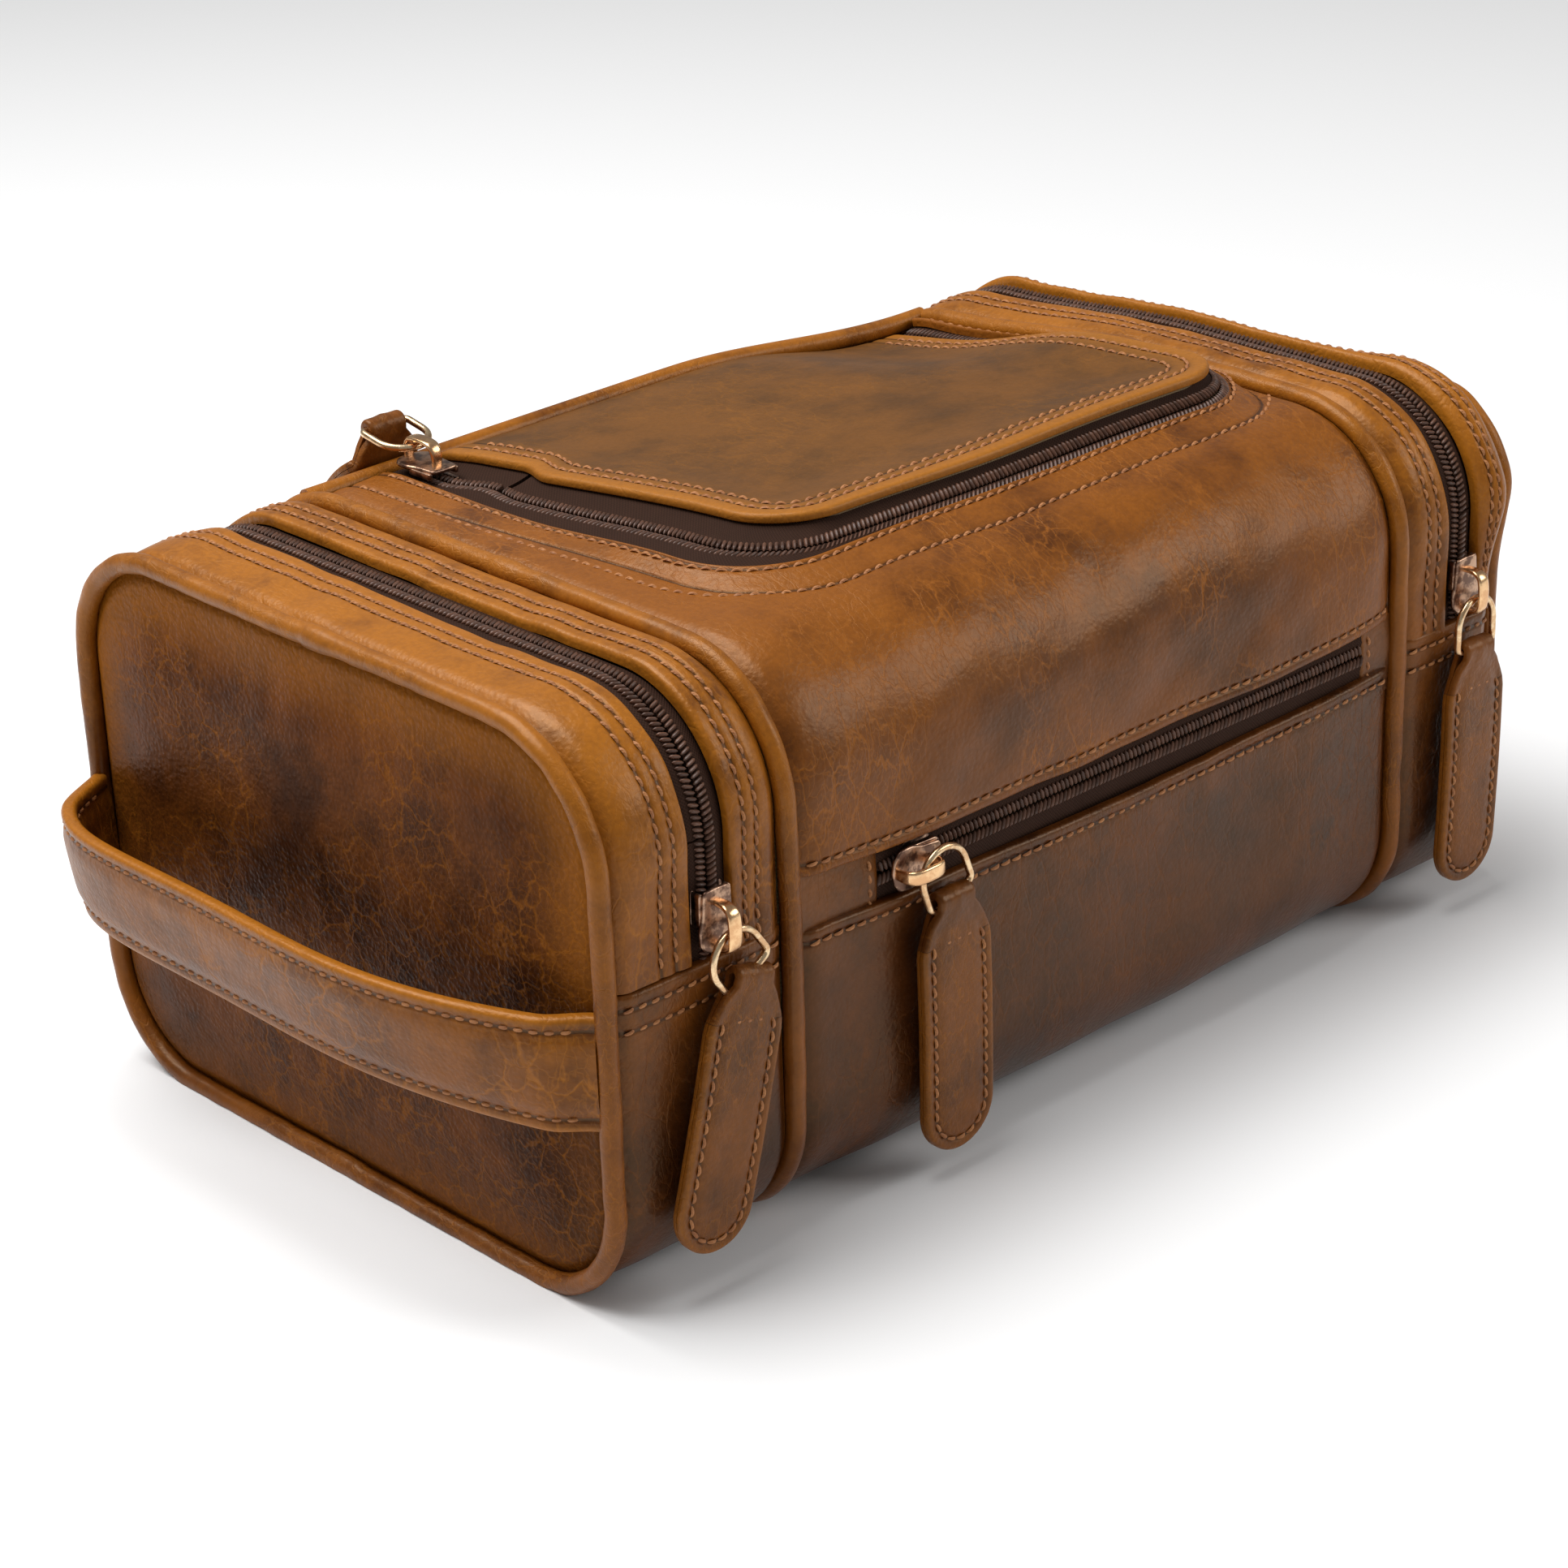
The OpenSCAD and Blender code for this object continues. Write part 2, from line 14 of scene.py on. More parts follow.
import bpy
import numpy as np
from mathutils import Matrix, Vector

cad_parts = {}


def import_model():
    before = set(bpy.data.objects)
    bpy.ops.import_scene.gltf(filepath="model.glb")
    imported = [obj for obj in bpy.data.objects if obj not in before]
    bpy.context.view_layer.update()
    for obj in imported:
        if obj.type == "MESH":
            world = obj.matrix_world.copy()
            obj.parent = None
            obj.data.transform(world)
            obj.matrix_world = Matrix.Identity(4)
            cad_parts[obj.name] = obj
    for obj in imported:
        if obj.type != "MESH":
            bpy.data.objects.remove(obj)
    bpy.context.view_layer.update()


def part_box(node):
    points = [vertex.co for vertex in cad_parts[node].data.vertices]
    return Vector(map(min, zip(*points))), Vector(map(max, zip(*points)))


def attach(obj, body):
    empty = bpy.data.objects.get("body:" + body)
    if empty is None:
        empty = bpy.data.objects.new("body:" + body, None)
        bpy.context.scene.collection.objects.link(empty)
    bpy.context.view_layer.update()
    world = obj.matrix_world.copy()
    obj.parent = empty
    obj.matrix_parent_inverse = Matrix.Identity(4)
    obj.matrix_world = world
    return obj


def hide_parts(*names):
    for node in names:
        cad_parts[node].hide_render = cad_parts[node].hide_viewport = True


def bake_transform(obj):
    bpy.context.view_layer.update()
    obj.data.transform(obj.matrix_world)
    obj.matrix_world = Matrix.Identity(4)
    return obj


Arr = np.ndarray
LOG = logging.getLogger("kit_bag")
MM = 0.001
PITCH = 3.1  # one stitch and its hole
TOOTH = 1.2  # one turn of zip coil
COIL_OFF = 1.35  # middle of a coil row from the chain's middle
LEATHER = 2.2  # thickness of the body leather
TURN = 1.1  # radius of a turned leather edge
CLOTH = 0.7  # thickness of a sewn lining
TAPE = 0.6  # thickness of an end or pocket zip tape
SEAM = 2.3  # from a piping's middle to the edge of the leather beside it


class Side(Enum):
    """The two ends of the bag, with the sign of their X."""

    LEFT = -1
    RIGHT = 1

    @property
    def word(self) -> str:
        """The end's name in piece and body names."""
        return self.name.lower()


class Slot(Enum):
    """Material slots of the record."""

    TOP = "leather_top"
    LOWER = "leather_lower"
    END = "leather_end"
    PIPING = "piping_leather"
    STRAP = "strap_leather"
    LINING = "lining_cloth"
    TAPE = "zip_tape"
    BRONZE = "slider_bronze"
    BRASS = "ring_brass"


# ---- small shape tools --------------------------------------------------------


def smooth(t: Arr | float) -> Arr:
    """Smooth step: three t squared less two t cubed, for t held between 0 and 1."""
    t = np.clip(t, 0.0, 1.0)
    return t * t * (3 - 2 * t)


def grid(x: Arr | float, y: Arr | float, z: Arr | float) -> Arr:
    """Points from three arrays of any matching shapes."""
    return np.stack(np.broadcast_arrays(x, y, z), -1)


def pair(x: Arr | float, y: Arr | float) -> Arr:
    """Flat points from two arrays of any matching shapes."""
    return np.stack(np.broadcast_arrays(x, y), -1)


def unit(v: Arr) -> Arr:
    """Vectors divided by their lengths."""
    return v / np.maximum(np.linalg.norm(v, axis=-1, keepdims=True), 1e-9)


def ripple(points: Arr, length: float, seed: int) -> Arr:
    """Soft relief of about -1 to 1: the sum of twelve sine waves in random directions.

    Args:
        points: places in millimetres, any shape ending in 3.
        length: typical wave length in millimetres.
        seed: which pattern.

    Returns:
        One height for each place.
    """
    rng = np.random.default_rng(seed)
    total = np.zeros(points.shape[:-1])
    for direction, phase, stretch in zip(
        unit(rng.normal(size=(12, 3))), rng.uniform(0, 6.28, 12), rng.uniform(0.7, 1.5, 12)
    ):
        total += np.sin(points @ direction * (2 * math.pi / (length * stretch)) + phase)
    return total / 3.2


def turned_edge(distance: Arr, radius: float) -> Arr:
    """Fall of a rounded edge: a quarter circle from the face down to radius at distance 0."""
    back = np.clip(radius - distance, 0, radius)
    return radius - np.sqrt(np.maximum(radius**2 - back**2, 0))


def groove(distance: Arr, rows: tuple[float, ...], depth: float = 0.32, width: float = 0.8) -> Arr:
    """Dip along stitch rows: a bell curve round each row's distance from the edge."""
    total = np.zeros_like(distance)
    for row in rows:
        total += depth * np.exp(-(((distance - row) / width) ** 2))
    return total


def valley(side: Arr, width: float = 2.0) -> Arr:
    """Crease where leather is drawn in under a piping: a bell curve of the distance from it."""
    return 1.7 * np.exp(-((side / width) ** 2))


def edge_lines(a: float, b: float, step: float) -> Arr:
    """Places from a to b that crowd together near both ends, so a rounded edge keeps its shape."""
    near = np.array([0, 0.12, 0.35, 0.7, 1.1, 1.7, 2.5])
    count = max(2, round((b - a - 5.0) / step) + 1)
    return np.concatenate([a + near[:-1], np.linspace(a + 2.5, b - 2.5, count), b - near[-2::-1]])


def resample(path: Arr, step: float, closed: bool = False) -> tuple[Arr, Arr]:
    """Even points along a path, by its running length.

    Args:
        path: points (n, k).
        step: wanted spacing.
        closed: whether the last point joins the first.

    Returns:
        The points, and the running length at each.
    """
    if closed:
        path = np.vstack([path, path[:1]])
    run = np.concatenate([[0], np.cumsum(np.linalg.norm(np.diff(path[:, :3], axis=0), axis=1))])
    count = max(2, round(run[-1] / step)) + (0 if closed else 1)
    at = np.linspace(0, run[-1], count, endpoint=not closed)
    return np.stack([np.interp(at, run, path[:, k]) for k in range(path.shape[1])], -1), at


def shift(x: float, y: float, z: float) -> Arr:
    """4 by 4 matrix of a move."""
    m = np.eye(4)
    m[:3, 3] = (x, y, z)
    return m


def turn(axis: str, degrees: float) -> Arr:
    """4 by 4 matrix of a turn about one axis."""
    return np.array(Matrix.Rotation(math.radians(degrees), 4, axis.upper()))


def box_mm(node: str) -> tuple[tuple[float, ...], ...]:
    """Low and high corners of a CAD node, in millimetres."""
    return tuple(tuple(c / MM for c in corner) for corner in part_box(node))


def moved(points: Arr, m: Arr) -> Arr:
    """Points carried by a 4 by 4 matrix."""
    return points @ m[:3, :3].T + m[:3, 3]


# ---- meshes -------------------------------------------------------------------


class Build:
    """A closed mesh gathered from slabs, tubes and repeated small shapes."""

    def __init__(self) -> None:
        """Starts empty."""
        self.points: list[Arr] = []
        self.quads: list[Arr] = []
        self.tris: list[Arr] = []
        self.marks: list[Arr] = []
        self.count = 0

    def _add(self, points: Arr, quads: Arr, tris: Arr, marks: Arr) -> None:
        """Takes one closed part, turned so that its enclosed volume is positive."""
        q, t = points[quads], points[tris]
        volume = np.einsum("ij,ij->", q[:, 0], np.cross(q[:, 1], q[:, 2]))
        volume += np.einsum("ij,ij->", q[:, 0], np.cross(q[:, 2], q[:, 3]))
        if len(tris):
            volume += np.einsum("ij,ij->", t[:, 0], np.cross(t[:, 1], t[:, 2]))
        if volume < 0:
            quads, tris = quads[:, ::-1], tris[:, ::-1]
        self.points.append(points)
        self.quads.append(quads + self.count)
        self.tris.append(tris + self.count)
        self.marks.append(marks)
        self.count += len(points)

    def slab(
        self, top: Arr, under: Arr, edge: Arr, along: Arr, hem: Arr | None = None,
        loop: bool = False
    ) -> "Build":
        """Closed slab between two grids of the same shape.

        Args:
            top: outer grid (n, m, 3).
            under: inner grid (n, m, 3).
            edge: distance from the stitched edge at each grid point.
            along: running length beside that edge.
            hem: distance from a second stitched edge, if there is one.
            loop: whether the first direction closes on itself.

        Returns:
            This build.
        """
        n, m = top.shape[:2]
        a = np.arange(n * m).reshape(n, m)
        if loop:
            a = np.vstack([a, a[:1]])
        b = a + n * m
        face = [a[:-1, :-1], a[1:, :-1], a[1:, 1:], a[:-1, 1:]]
        back = [f + n * m for f in face[::-1]]
        quads = [np.stack(face, -1).reshape(-1, 4), np.stack(back, -1).reshape(-1, 4)]
        if loop:
            rims = [(a[:, -1], b[:, -1]), (a[::-1, 0], b[::-1, 0])]
        else:
            ring = [np.concatenate([g[0], g[1:, -1], g[-1, -2::-1], g[-2::-1, 0]]) for g in (a, b)]
            rims = [(ring[0], ring[1])]
        for u, w in rims:
            quads.append(np.stack([u[:-1], u[1:], w[1:], w[:-1]], -1))
        hem = np.full((n, m), 99.0) if hem is None else hem
        marks = np.tile(grid(edge, along, hem).reshape(-1, 3), (2, 1))
        self._add(
            np.concatenate([top.reshape(-1, 3), under.reshape(-1, 3)]),
            np.concatenate(quads),
            np.zeros((0, 3), int),
            marks,
        )
        return self

    def tube(
        self, rings: Arr, edge: Arr | float = 0.0, along: Arr | float = 0.0, loop: bool = False
    ) -> "Build":
        """Closed skin through rings of points.

        Args:
            rings: (n, m, 3), closed round m.
            edge: distance from the stitched edge, or 0.
            along: running length of each ring, or 0.
            loop: whether the last ring joins the first; otherwise both ends get a cap.

        Returns:
            This build.
        """
        n, m = rings.shape[:2]
        a = np.arange(n * m).reshape(n, m)
        points = rings.reshape(-1, 3)
        tris = np.zeros((0, 3), int)
        if loop:
            a = np.vstack([a, a[:1]])
        b = np.roll(a, -1, axis=1)
        quads = np.stack([a[:-1], a[1:], b[1:], b[:-1]], -1).reshape(-1, 4)
        marks = np.zeros((n, m, 3))
        marks[..., 0] = edge
        marks[..., 1] = along if np.ndim(along) != 1 else along[:, None]
        marks[..., 2] = 99
        marks = marks.reshape(-1, 3)
        if not loop:
            points = np.vstack([points, rings[0].mean(0), rings[-1].mean(0)])
            first, last = n * m, n * m + 1
            tris = np.concatenate(
                [
                    grid(a[0], b[0], np.full(m, first)),
                    grid(b[-1], a[-1], np.full(m, last)),
                ]
            )
            marks = np.vstack([marks, marks[:1], marks[-1:]])
        self._add(points, quads, tris, marks)
        return self

    def copies(self, shape: "Build", places: Arr, axes: Arr) -> "Build":
        """Repeats a small shape.

        Args:
            shape: the small shape, about its own origin.
            places: centre of each copy (n, 3).
            axes: rows are each copy's X, Y and Z directions (n, 3, 3).

        Returns:
            This build.
        """
        base, quads, tris = (np.concatenate(p) for p in (shape.points, shape.quads, shape.tris))
        n, k = len(places), len(base)
        step = (np.arange(n) * k)[:, None, None] + self.count
        self.points.append((np.einsum("kj,njc->nkc", base, axes) + places[:, None]).reshape(-1, 3))
        self.quads.append((quads[None] + step).reshape(-1, 4))
        self.tris.append((tris[None] + step).reshape(-1, 3))
        marks = np.zeros((n, k, 3))
        marks[..., 1] = (np.arange(n) * 7.31 % 10)[:, None]
        self.marks.append(marks.reshape(-1, 3))
        self.count += n * k
        return self

    def carried(self, m: Arr) -> "Build":
        """This build with every point carried by a 4 by 4 matrix."""
        self.points = [moved(p, m) for p in self.points]
        return self

    def piece(self, name: str, sharp: float) -> bpy.types.Object:
        """Puts the parts in one mesh, with attributes edge, along and hem.

        Args:
            name: the piece's name.
            sharp: angle in degrees past which an edge stays crisp.

        Returns:
            The new object, at the origin.
        """
        points = np.concatenate(self.points) * MM
        quads, tris = np.concatenate(self.quads), np.concatenate(self.tris)
        marks = np.concatenate(self.marks)
        mesh = bpy.data.meshes.new(name)
        mesh.vertices.add(len(points))
        mesh.vertices.foreach_set("co", points.ravel())
        corners = np.concatenate([quads.ravel(), tris.ravel()])
        mesh.loops.add(len(corners))
        mesh.loops.foreach_set("vertex_index", corners.astype(np.int32))
        sizes = np.concatenate([np.full(len(quads), 4), np.full(len(tris), 3)])
        mesh.polygons.add(len(sizes))
        mesh.polygons.foreach_set("loop_start", (np.cumsum(sizes) - sizes).astype(np.int32))
        mesh.update(calc_edges=True)
        mesh.validate()
        for k, mark in enumerate(("edge", "along", "hem")):
            mesh.attributes.new(mark, "FLOAT", "POINT").data.foreach_set(
                "value", marks[:, k].astype(np.float32)
            )
        mesh.shade_smooth()
        mesh.set_sharp_from_angle(angle=math.radians(sharp))
        obj = bpy.data.objects.new(f"{name}_shape", mesh)
        bpy.context.scene.collection.objects.link(obj)
        LOG.info("%s: %d faces", name, len(sizes))
        return obj


def thread() -> Build:
    """One stitch: a short round thread along X whose ends dip into the leather."""
    t = np.linspace(-1, 1, 6)[:, None]
    a = np.linspace(0, 2 * math.pi, 7)[None, :-1]
    r = 0.40 * np.sqrt(1.04 - t**2) ** 0.5
    rings = grid(1.2 * t + 0 * a, r * np.cos(a), r * np.sin(a) * 0.8 + 0.16 - 0.42 * t**2)
    return Build().tube(rings)


def tooth() -> Build:
    """One turn of coil: a rounded bar along Y, fatter at its meeting end."""
    t = np.linspace(-1, 1, 6)[:, None]
    a = np.linspace(0, 2 * math.pi, 9)[None, :-1]
    r = np.sqrt(1.03 - t**4) * (1 - 0.12 * t)
    rings = grid(0.43 * r * np.cos(a), 1.3 * t + 0 * a, 0.6 * r * np.sin(a))
    return Build().tube(rings)


def sew(build: Build, path: Arr, normals: Arr, slant: float = 9.0, pitch: float = PITCH) -> Build:
    """Lays stitches along a path on a surface.

    Args:
        build: where the stitches go.
        path: points along the row (n, 3).
        normals: outward directions of the surface there.
        slant: turn of each stitch across the row, in degrees.
        pitch: length of a stitch with its gap.

    Returns:
        The build.
    """
    at, _ = resample(np.hstack([path, normals]), pitch)
    mid = (at[:-1] + at[1:]) / 2
    ahead = unit(at[1:, :3] - at[:-1, :3])
    up = unit(mid[:, 3:])
    across = unit(np.cross(up, ahead))
    lean = math.radians(slant)
    ahead = ahead * math.cos(lean) + across * math.sin(lean)
    across = unit(np.cross(up, ahead))
    return build.copies(
        thread(), mid[:, :3], np.stack([ahead, across, unit(np.cross(ahead, across))], 1)
    )


def coil_row(build: Build, path: Arr, across: Arr, up: Arr, start: float) -> Build:
    """Lays one row of coil turns.

    Args:
        build: where the turns go.
        path: middle of the row (n, 3).
        across: direction towards the chain's middle at each point.
        up: outward direction at each point.
        start: shift along the row, as a share of one turn.

    Returns:
        The build.
    """
    at, run = resample(np.hstack([path, across, up]), TOOTH)
    if start:
        at = (at[:-1] + at[1:]) / 2
    ahead = unit(np.gradient(at[:, :3], axis=0))
    side, top = unit(at[:, 3:6]), unit(at[:, 6:9])
    side = unit(side + 0.3 * ahead)
    return build.copies(tooth(), at[:, :3], np.stack([ahead, side, top], 1))


# ---- the bag's form -------------------------------------------------------------


@dataclass(frozen=True)
class Section:
    """Rounded box in the YZ plane that the leather follows, measured by running length.

    s is 0 at the middle of the top and grows towards the front, down and under.
    """

    half_w: float
    height: float
    top_r: float = 28.0
    base_r: float = 25.0

    @property
    def marks(self) -> tuple[float, float, float, float, float]:
        """Running lengths where top, upper bend, face, lower bend and base end."""
        a = self.half_w - self.top_r
        b = a + self.top_r * math.pi / 2
        c = b + self.height - self.top_r - self.base_r
        d = c + self.base_r * math.pi / 2
        return a, b, c, d, d + self.half_w - self.base_r

    def at_height(self, z: float) -> float:
        """s of a height on the upright front face."""
        return self.marks[1] + self.height - self.top_r - z

    def at_depth(self, y: float) -> float:
        """s of a depth y behind the middle on the top or its rear bend."""
        a = self.marks[0]
        if y <= a:
            return -y
        return -(a + self.top_r * math.asin(min(1.0, (y - a) / self.top_r)))

    def place(self, s: Arr, out: Arr | float = 0.0) -> tuple[Arr, Arr, Arr, Arr]:
        """Points on the section pushed outwards: straight runs joined by quarter circles.

        Args:
            s: running lengths.
            out: distance outside the leather's face.

        Returns:
            y, z and the outward direction's y and z.
        """
        a, b, c, d, e = self.marks
        s = (s + e) % (2 * e) - e
        q = np.abs(s)
        t1 = np.clip((q - a) / self.top_r, 0, math.pi / 2)
        t2 = np.clip((q - c) / self.base_r, 0, math.pi / 2)
        y = np.where(q < a, q, a + self.top_r * np.sin(t1))
        y = np.where(q > c, self.half_w - self.base_r + self.base_r * np.cos(t2), y)
        y = np.where(q > d, self.half_w - self.base_r - (q - d), y)
        z = self.height - self.top_r + self.top_r * np.cos(t1) - np.clip(q - b, 0, c - b)
        z = np.where(q > c, self.base_r - self.base_r * np.sin(t2), z)
        ny = np.where(q > c, np.cos(t2), np.sin(t1))
        nz = np.where(q > c, -np.sin(t2), np.cos(t1))
        side = np.where(s > 0, -1.0, 1.0)
        return side * (y + out * ny), z + out * nz, side * ny, nz


@dataclass(frozen=True)
class Slump:
    """How the empty bag has settled: its right rear sinks and its right end leans in."""

    lean: float = 13.0
    sink: float = 15.0
    rear_sink: float = 5.5

    def move(self, p: Arr) -> Arr:
        """Adds the slump: smooth steps along X, Y and Z multiplied together.

        Args:
            p: points in millimetres.

        Returns:
            The settled points.
        """
        x, y, z = p[..., 0], p[..., 1], p[..., 2]
        end = smooth((x - 114) / 23)
        low = smooth((z - 2) / 24)
        dx = -end * (self.lean - 4.5 * smooth((z - 74) / 26)) * (0.7 + 0.3 * low)
        top = smooth((z - 78) / 36)
        dz = -end * self.sink * top * (0.12 + 0.88 * smooth((y + 70) / 45))
        rear = smooth((x - 12) / 75) * smooth((y + 5) / 60) * smooth((z - 80) / 36)
        dz = dz - self.rear_sink * rear * (1 - 0.35 * smooth((x - 92) / 20))
        return grid(x + dx, y, np.maximum(z + dz, 0.1))


@dataclass(frozen=True)
class Form:
    """The sizes that every piece shares, read from the frame."""

    section: Section
    slump: Slump
    panel_x: float
    inner_x: float
    outer_x: float
    end_x: float
    zip_x: float
    fold_z: float
    zip_half: float = 5.2
    zip_out: float = -0.9

    @staticmethod
    def measured() -> "Form":
        """Reads the bag's sizes from the boxes of its CAD nodes."""
        gusset, panel = box_mm("right_flap_gusset"), box_mm("top_front_panel")
        ring, outer = box_mm("right_inner_piping"), box_mm("right_flap_piping")
        chain, end = box_mm("right_slider"), box_mm("right_flap_panel")
        return Form(
            section=Section(half_w=gusset[1][1], height=gusset[1][2]),
            slump=Slump(),
            panel_x=panel[1][0],
            inner_x=(ring[0][0] + ring[1][0]) / 2,
            outer_x=(outer[0][0] + outer[1][0]) / 2,
            end_x=end[1][0],
            zip_x=(chain[0][0] + chain[1][0]) / 2,
            fold_z=box_mm("left_lower_gusset")[1][2],
        )

    def on_skin(self, x: Arr, s: Arr, out: Arr | float = 0.0) -> Arr:
        """Settled points at x along the bag and s round its section, pushed outwards."""
        y, z, _, _ = self.section.place(s, out)
        return self.slump.move(grid(x, y, z))

    def sheet(
        self,
        x: Arr,
        s: Arr,
        top: Arr,
        under: Arr,
        edge: Arr | float,
        along: Arr,
        hem: Arr | None = None,
    ) -> Build:
        """Slab that follows the section.

        Args:
            x: places along the bag.
            s: running lengths round the section.
            top: how far the outer face stands out.
            under: the same for the inner face.
            edge: distance from the stitched edge.
            along: running length beside that edge.
            hem: distance from a second stitched edge, if there is one.

        Returns:
            The closed slab.
        """
        return Build().slab(self.on_skin(x, s, top), self.on_skin(x, s, under), edge, along, hem)

    def skin_out(self, x: Arr, s: Arr) -> Arr:
        """Outward directions at the same places, before settling."""
        _, _, ny, nz = self.section.place(s)
        return grid(0 * np.asarray(x, float), ny, nz)


def rounded_distance(
    x: Arr, y: Arr, half_x: float, low: float, high: float, r_high: float, r_low: float
) -> Arr:
    """Distance inside a rounded rectangle centred on x: to a side, or to a corner's circle."""
    mid = (low + high) / 2
    r = np.where(y > mid, r_high, r_low)
    qx = np.abs(x) - (half_x - r)
    qy = np.where(y > mid, y - (high - r), (low + r) - y)
    outside = np.hypot(np.maximum(qx, 0), np.maximum(qy, 0))
    return r - (outside + np.minimum(np.maximum(qx, qy), 0))


# ---- finishes -----------------------------------------------------------------

Colour = tuple[float, float, float]


class Tint:
    """A shader output that takes part in sums: each operator adds a Math node."""

    def __init__(self, pot: "Pot", socket: bpy.types.NodeSocket) -> None:
        """Keeps the socket and the material that it belongs to."""
        self.pot, self.socket = pot, socket

    def _sum(self, kind: str, a: object, b: object) -> "Tint":
        """One Math node of two values."""
        return self.pot.node("Math", {0: a, 1: b}, operation=kind)

    def __add__(self, o: object) -> "Tint":
        """Sum."""
        return self._sum("ADD", self, o)

    __radd__ = __add__

    def __sub__(self, o: object) -> "Tint":
        """Difference."""
        return self._sum("SUBTRACT", self, o)

    def __rsub__(self, o: object) -> "Tint":
        """Difference the other way round."""
        return self._sum("SUBTRACT", o, self)

    def __mul__(self, o: object) -> "Tint":
        """Product."""
        return self._sum("MULTIPLY", self, o)

    __rmul__ = __mul__

    def __truediv__(self, o: object) -> "Tint":
        """Quotient."""
        return self._sum("DIVIDE", self, o)

    def __rtruediv__(self, o: object) -> "Tint":
        """Quotient the other way round."""
        return self._sum("DIVIDE", o, self)

    def __pow__(self, o: object) -> "Tint":
        """Power."""
        return self._sum("POWER", self, o)

    def __abs__(self) -> "Tint":
        """Size without sign."""
        return self._sum("ABSOLUTE", self, 0.0)

    def between(self, low: float, high: float) -> "Tint":
        """Smooth step from 0 at low to 1 at high, whichever of them is the larger number."""
        falls = low > high
        low, high = min(low, high), max(low, high)
        step = self.pot.node(
            "MapRange", {
                "Value": self, "From Min": low, "From Max": high
            }, interpolation_type="SMOOTHSTEP"
        )
        return 1.0 - step if falls else step


class Pot:
    """One material in the making."""

    def __init__(self, name: str) -> None:
        """Starts a material with its Principled shader and its places in millimetres."""
        self.material = bpy.data.materials.new(name)
        self.material.use_nodes = True
        self.tree = self.material.node_tree
        self.shader = self.tree.nodes["Principled BSDF"]
        places = self.node("TexCoord", {}, out="Object")
        self.places = self.node("VectorMath", {0: places, "Scale": 1 / MM}, operation="SCALE")

    def node(
        self, kind: str, inputs: dict[str | int, object], out: str | int = 0, **settings: object
    ) -> Tint:
        """Adds a node.

        Args:
            kind: its type, without ShaderNode; a texture's starts with Tex.
            inputs: values or tints for its sockets, by name or number.
            out: which output to hand back.
            settings: the node's own settings.

        Returns:
            The chosen output.
        """
        made = self.tree.nodes.new("ShaderNode" + kind)
        for key, value in settings.items():
            setattr(made, key, value)
        for key, value in inputs.items():
            if isinstance(value, Tint):
                self.tree.links.new(value.socket, made.inputs[key])
            else:
                made.inputs[key].default_value = value
        return Tint(self, made.outputs[out])

    def mark(self, name: str) -> Tint:
        """A mesh attribute: edge, along or hem."""
        return self.node("Attribute", {}, out="Fac", attribute_name=name)

    def noise(
        self, size: float, detail: float = 3.0, shift_by: float = 0.0, rough: float = 0.55
    ) -> Tint:
        """Cloudy noise of 0 to 1 whose blots are about size millimetres."""
        at = self.node(
            "VectorMath", {0: self.places, 1: (shift_by, shift_by * 1.7, -shift_by)},
            operation="ADD"
        )
        return self.node(
            "TexNoise", {"Vector": at, "Scale": 1 / size, "Detail": detail, "Roughness": rough}
        )

    def cells(self, size: float, feature: str, wander: float = 0.0, stretch: float = 1.0) -> Tint:
        """Cell pattern whose places are shaken, so that its lines wander.

        Args:
            size: millimetres across one cell.
            feature: the pattern's kind.
            wander: how far places are shaken.
            stretch: scale of height and depth, so less than 1 makes long cells.

        Returns:
            The pattern's distance.
        """
        at = self.node(
            "VectorMath", {0: self.places, 1: (1.0, stretch, stretch)}, operation="MULTIPLY"
        )
        if wander:
            shake = self.node(
                "TexNoise", {"Vector": at, "Scale": 0.9 / size, "Detail": 3.0}, out="Color"
            )
            shake = self.node("VectorMath", {0: shake, 1: (0.5, 0.5, 0.5)}, operation="SUBTRACT")
            shake = self.node("VectorMath", {0: shake, "Scale": 2 * wander}, operation="SCALE")
            at = self.node("VectorMath", {0: at, 1: shake}, operation="ADD")
        return self.node(
            "TexVoronoi", {"Vector": at, "Scale": 1 / size}, out="Distance", feature=feature
        )

    def mix(self, share: Tint | float, a: object, b: object) -> Tint:
        """Colour a where share is 0 and b where it is 1."""
        a, b = (c if isinstance(c, Tint) else (*c, 1.0) for c in (a, b))
        return self.node("Mix", {0: share, 6: a, 7: b}, out=2, data_type="RGBA", clamp_factor=True)

    def finish(self, inputs: dict[str, object], height: Tint | None = None) -> bpy.types.Material:
        """Sets the Principled shader's sockets and its relief.

        Args:
            inputs: values or tints by socket name.
            height: relief in millimetres.

        Returns:
            The material.
        """
        for key, value in inputs.items():
            if isinstance(value, Tint):
                self.tree.links.new(value.socket, self.shader.inputs[key])
            else:
                self.shader.inputs[key].default_value = value
        if height is not None:
            bump = self.node(
                "Bump", {"Height": height, "Distance": MM, "Strength": 1.0}, out="Normal"
            )
            self.tree.links.new(bump.socket, self.shader.inputs["Normal"])
        return self.material


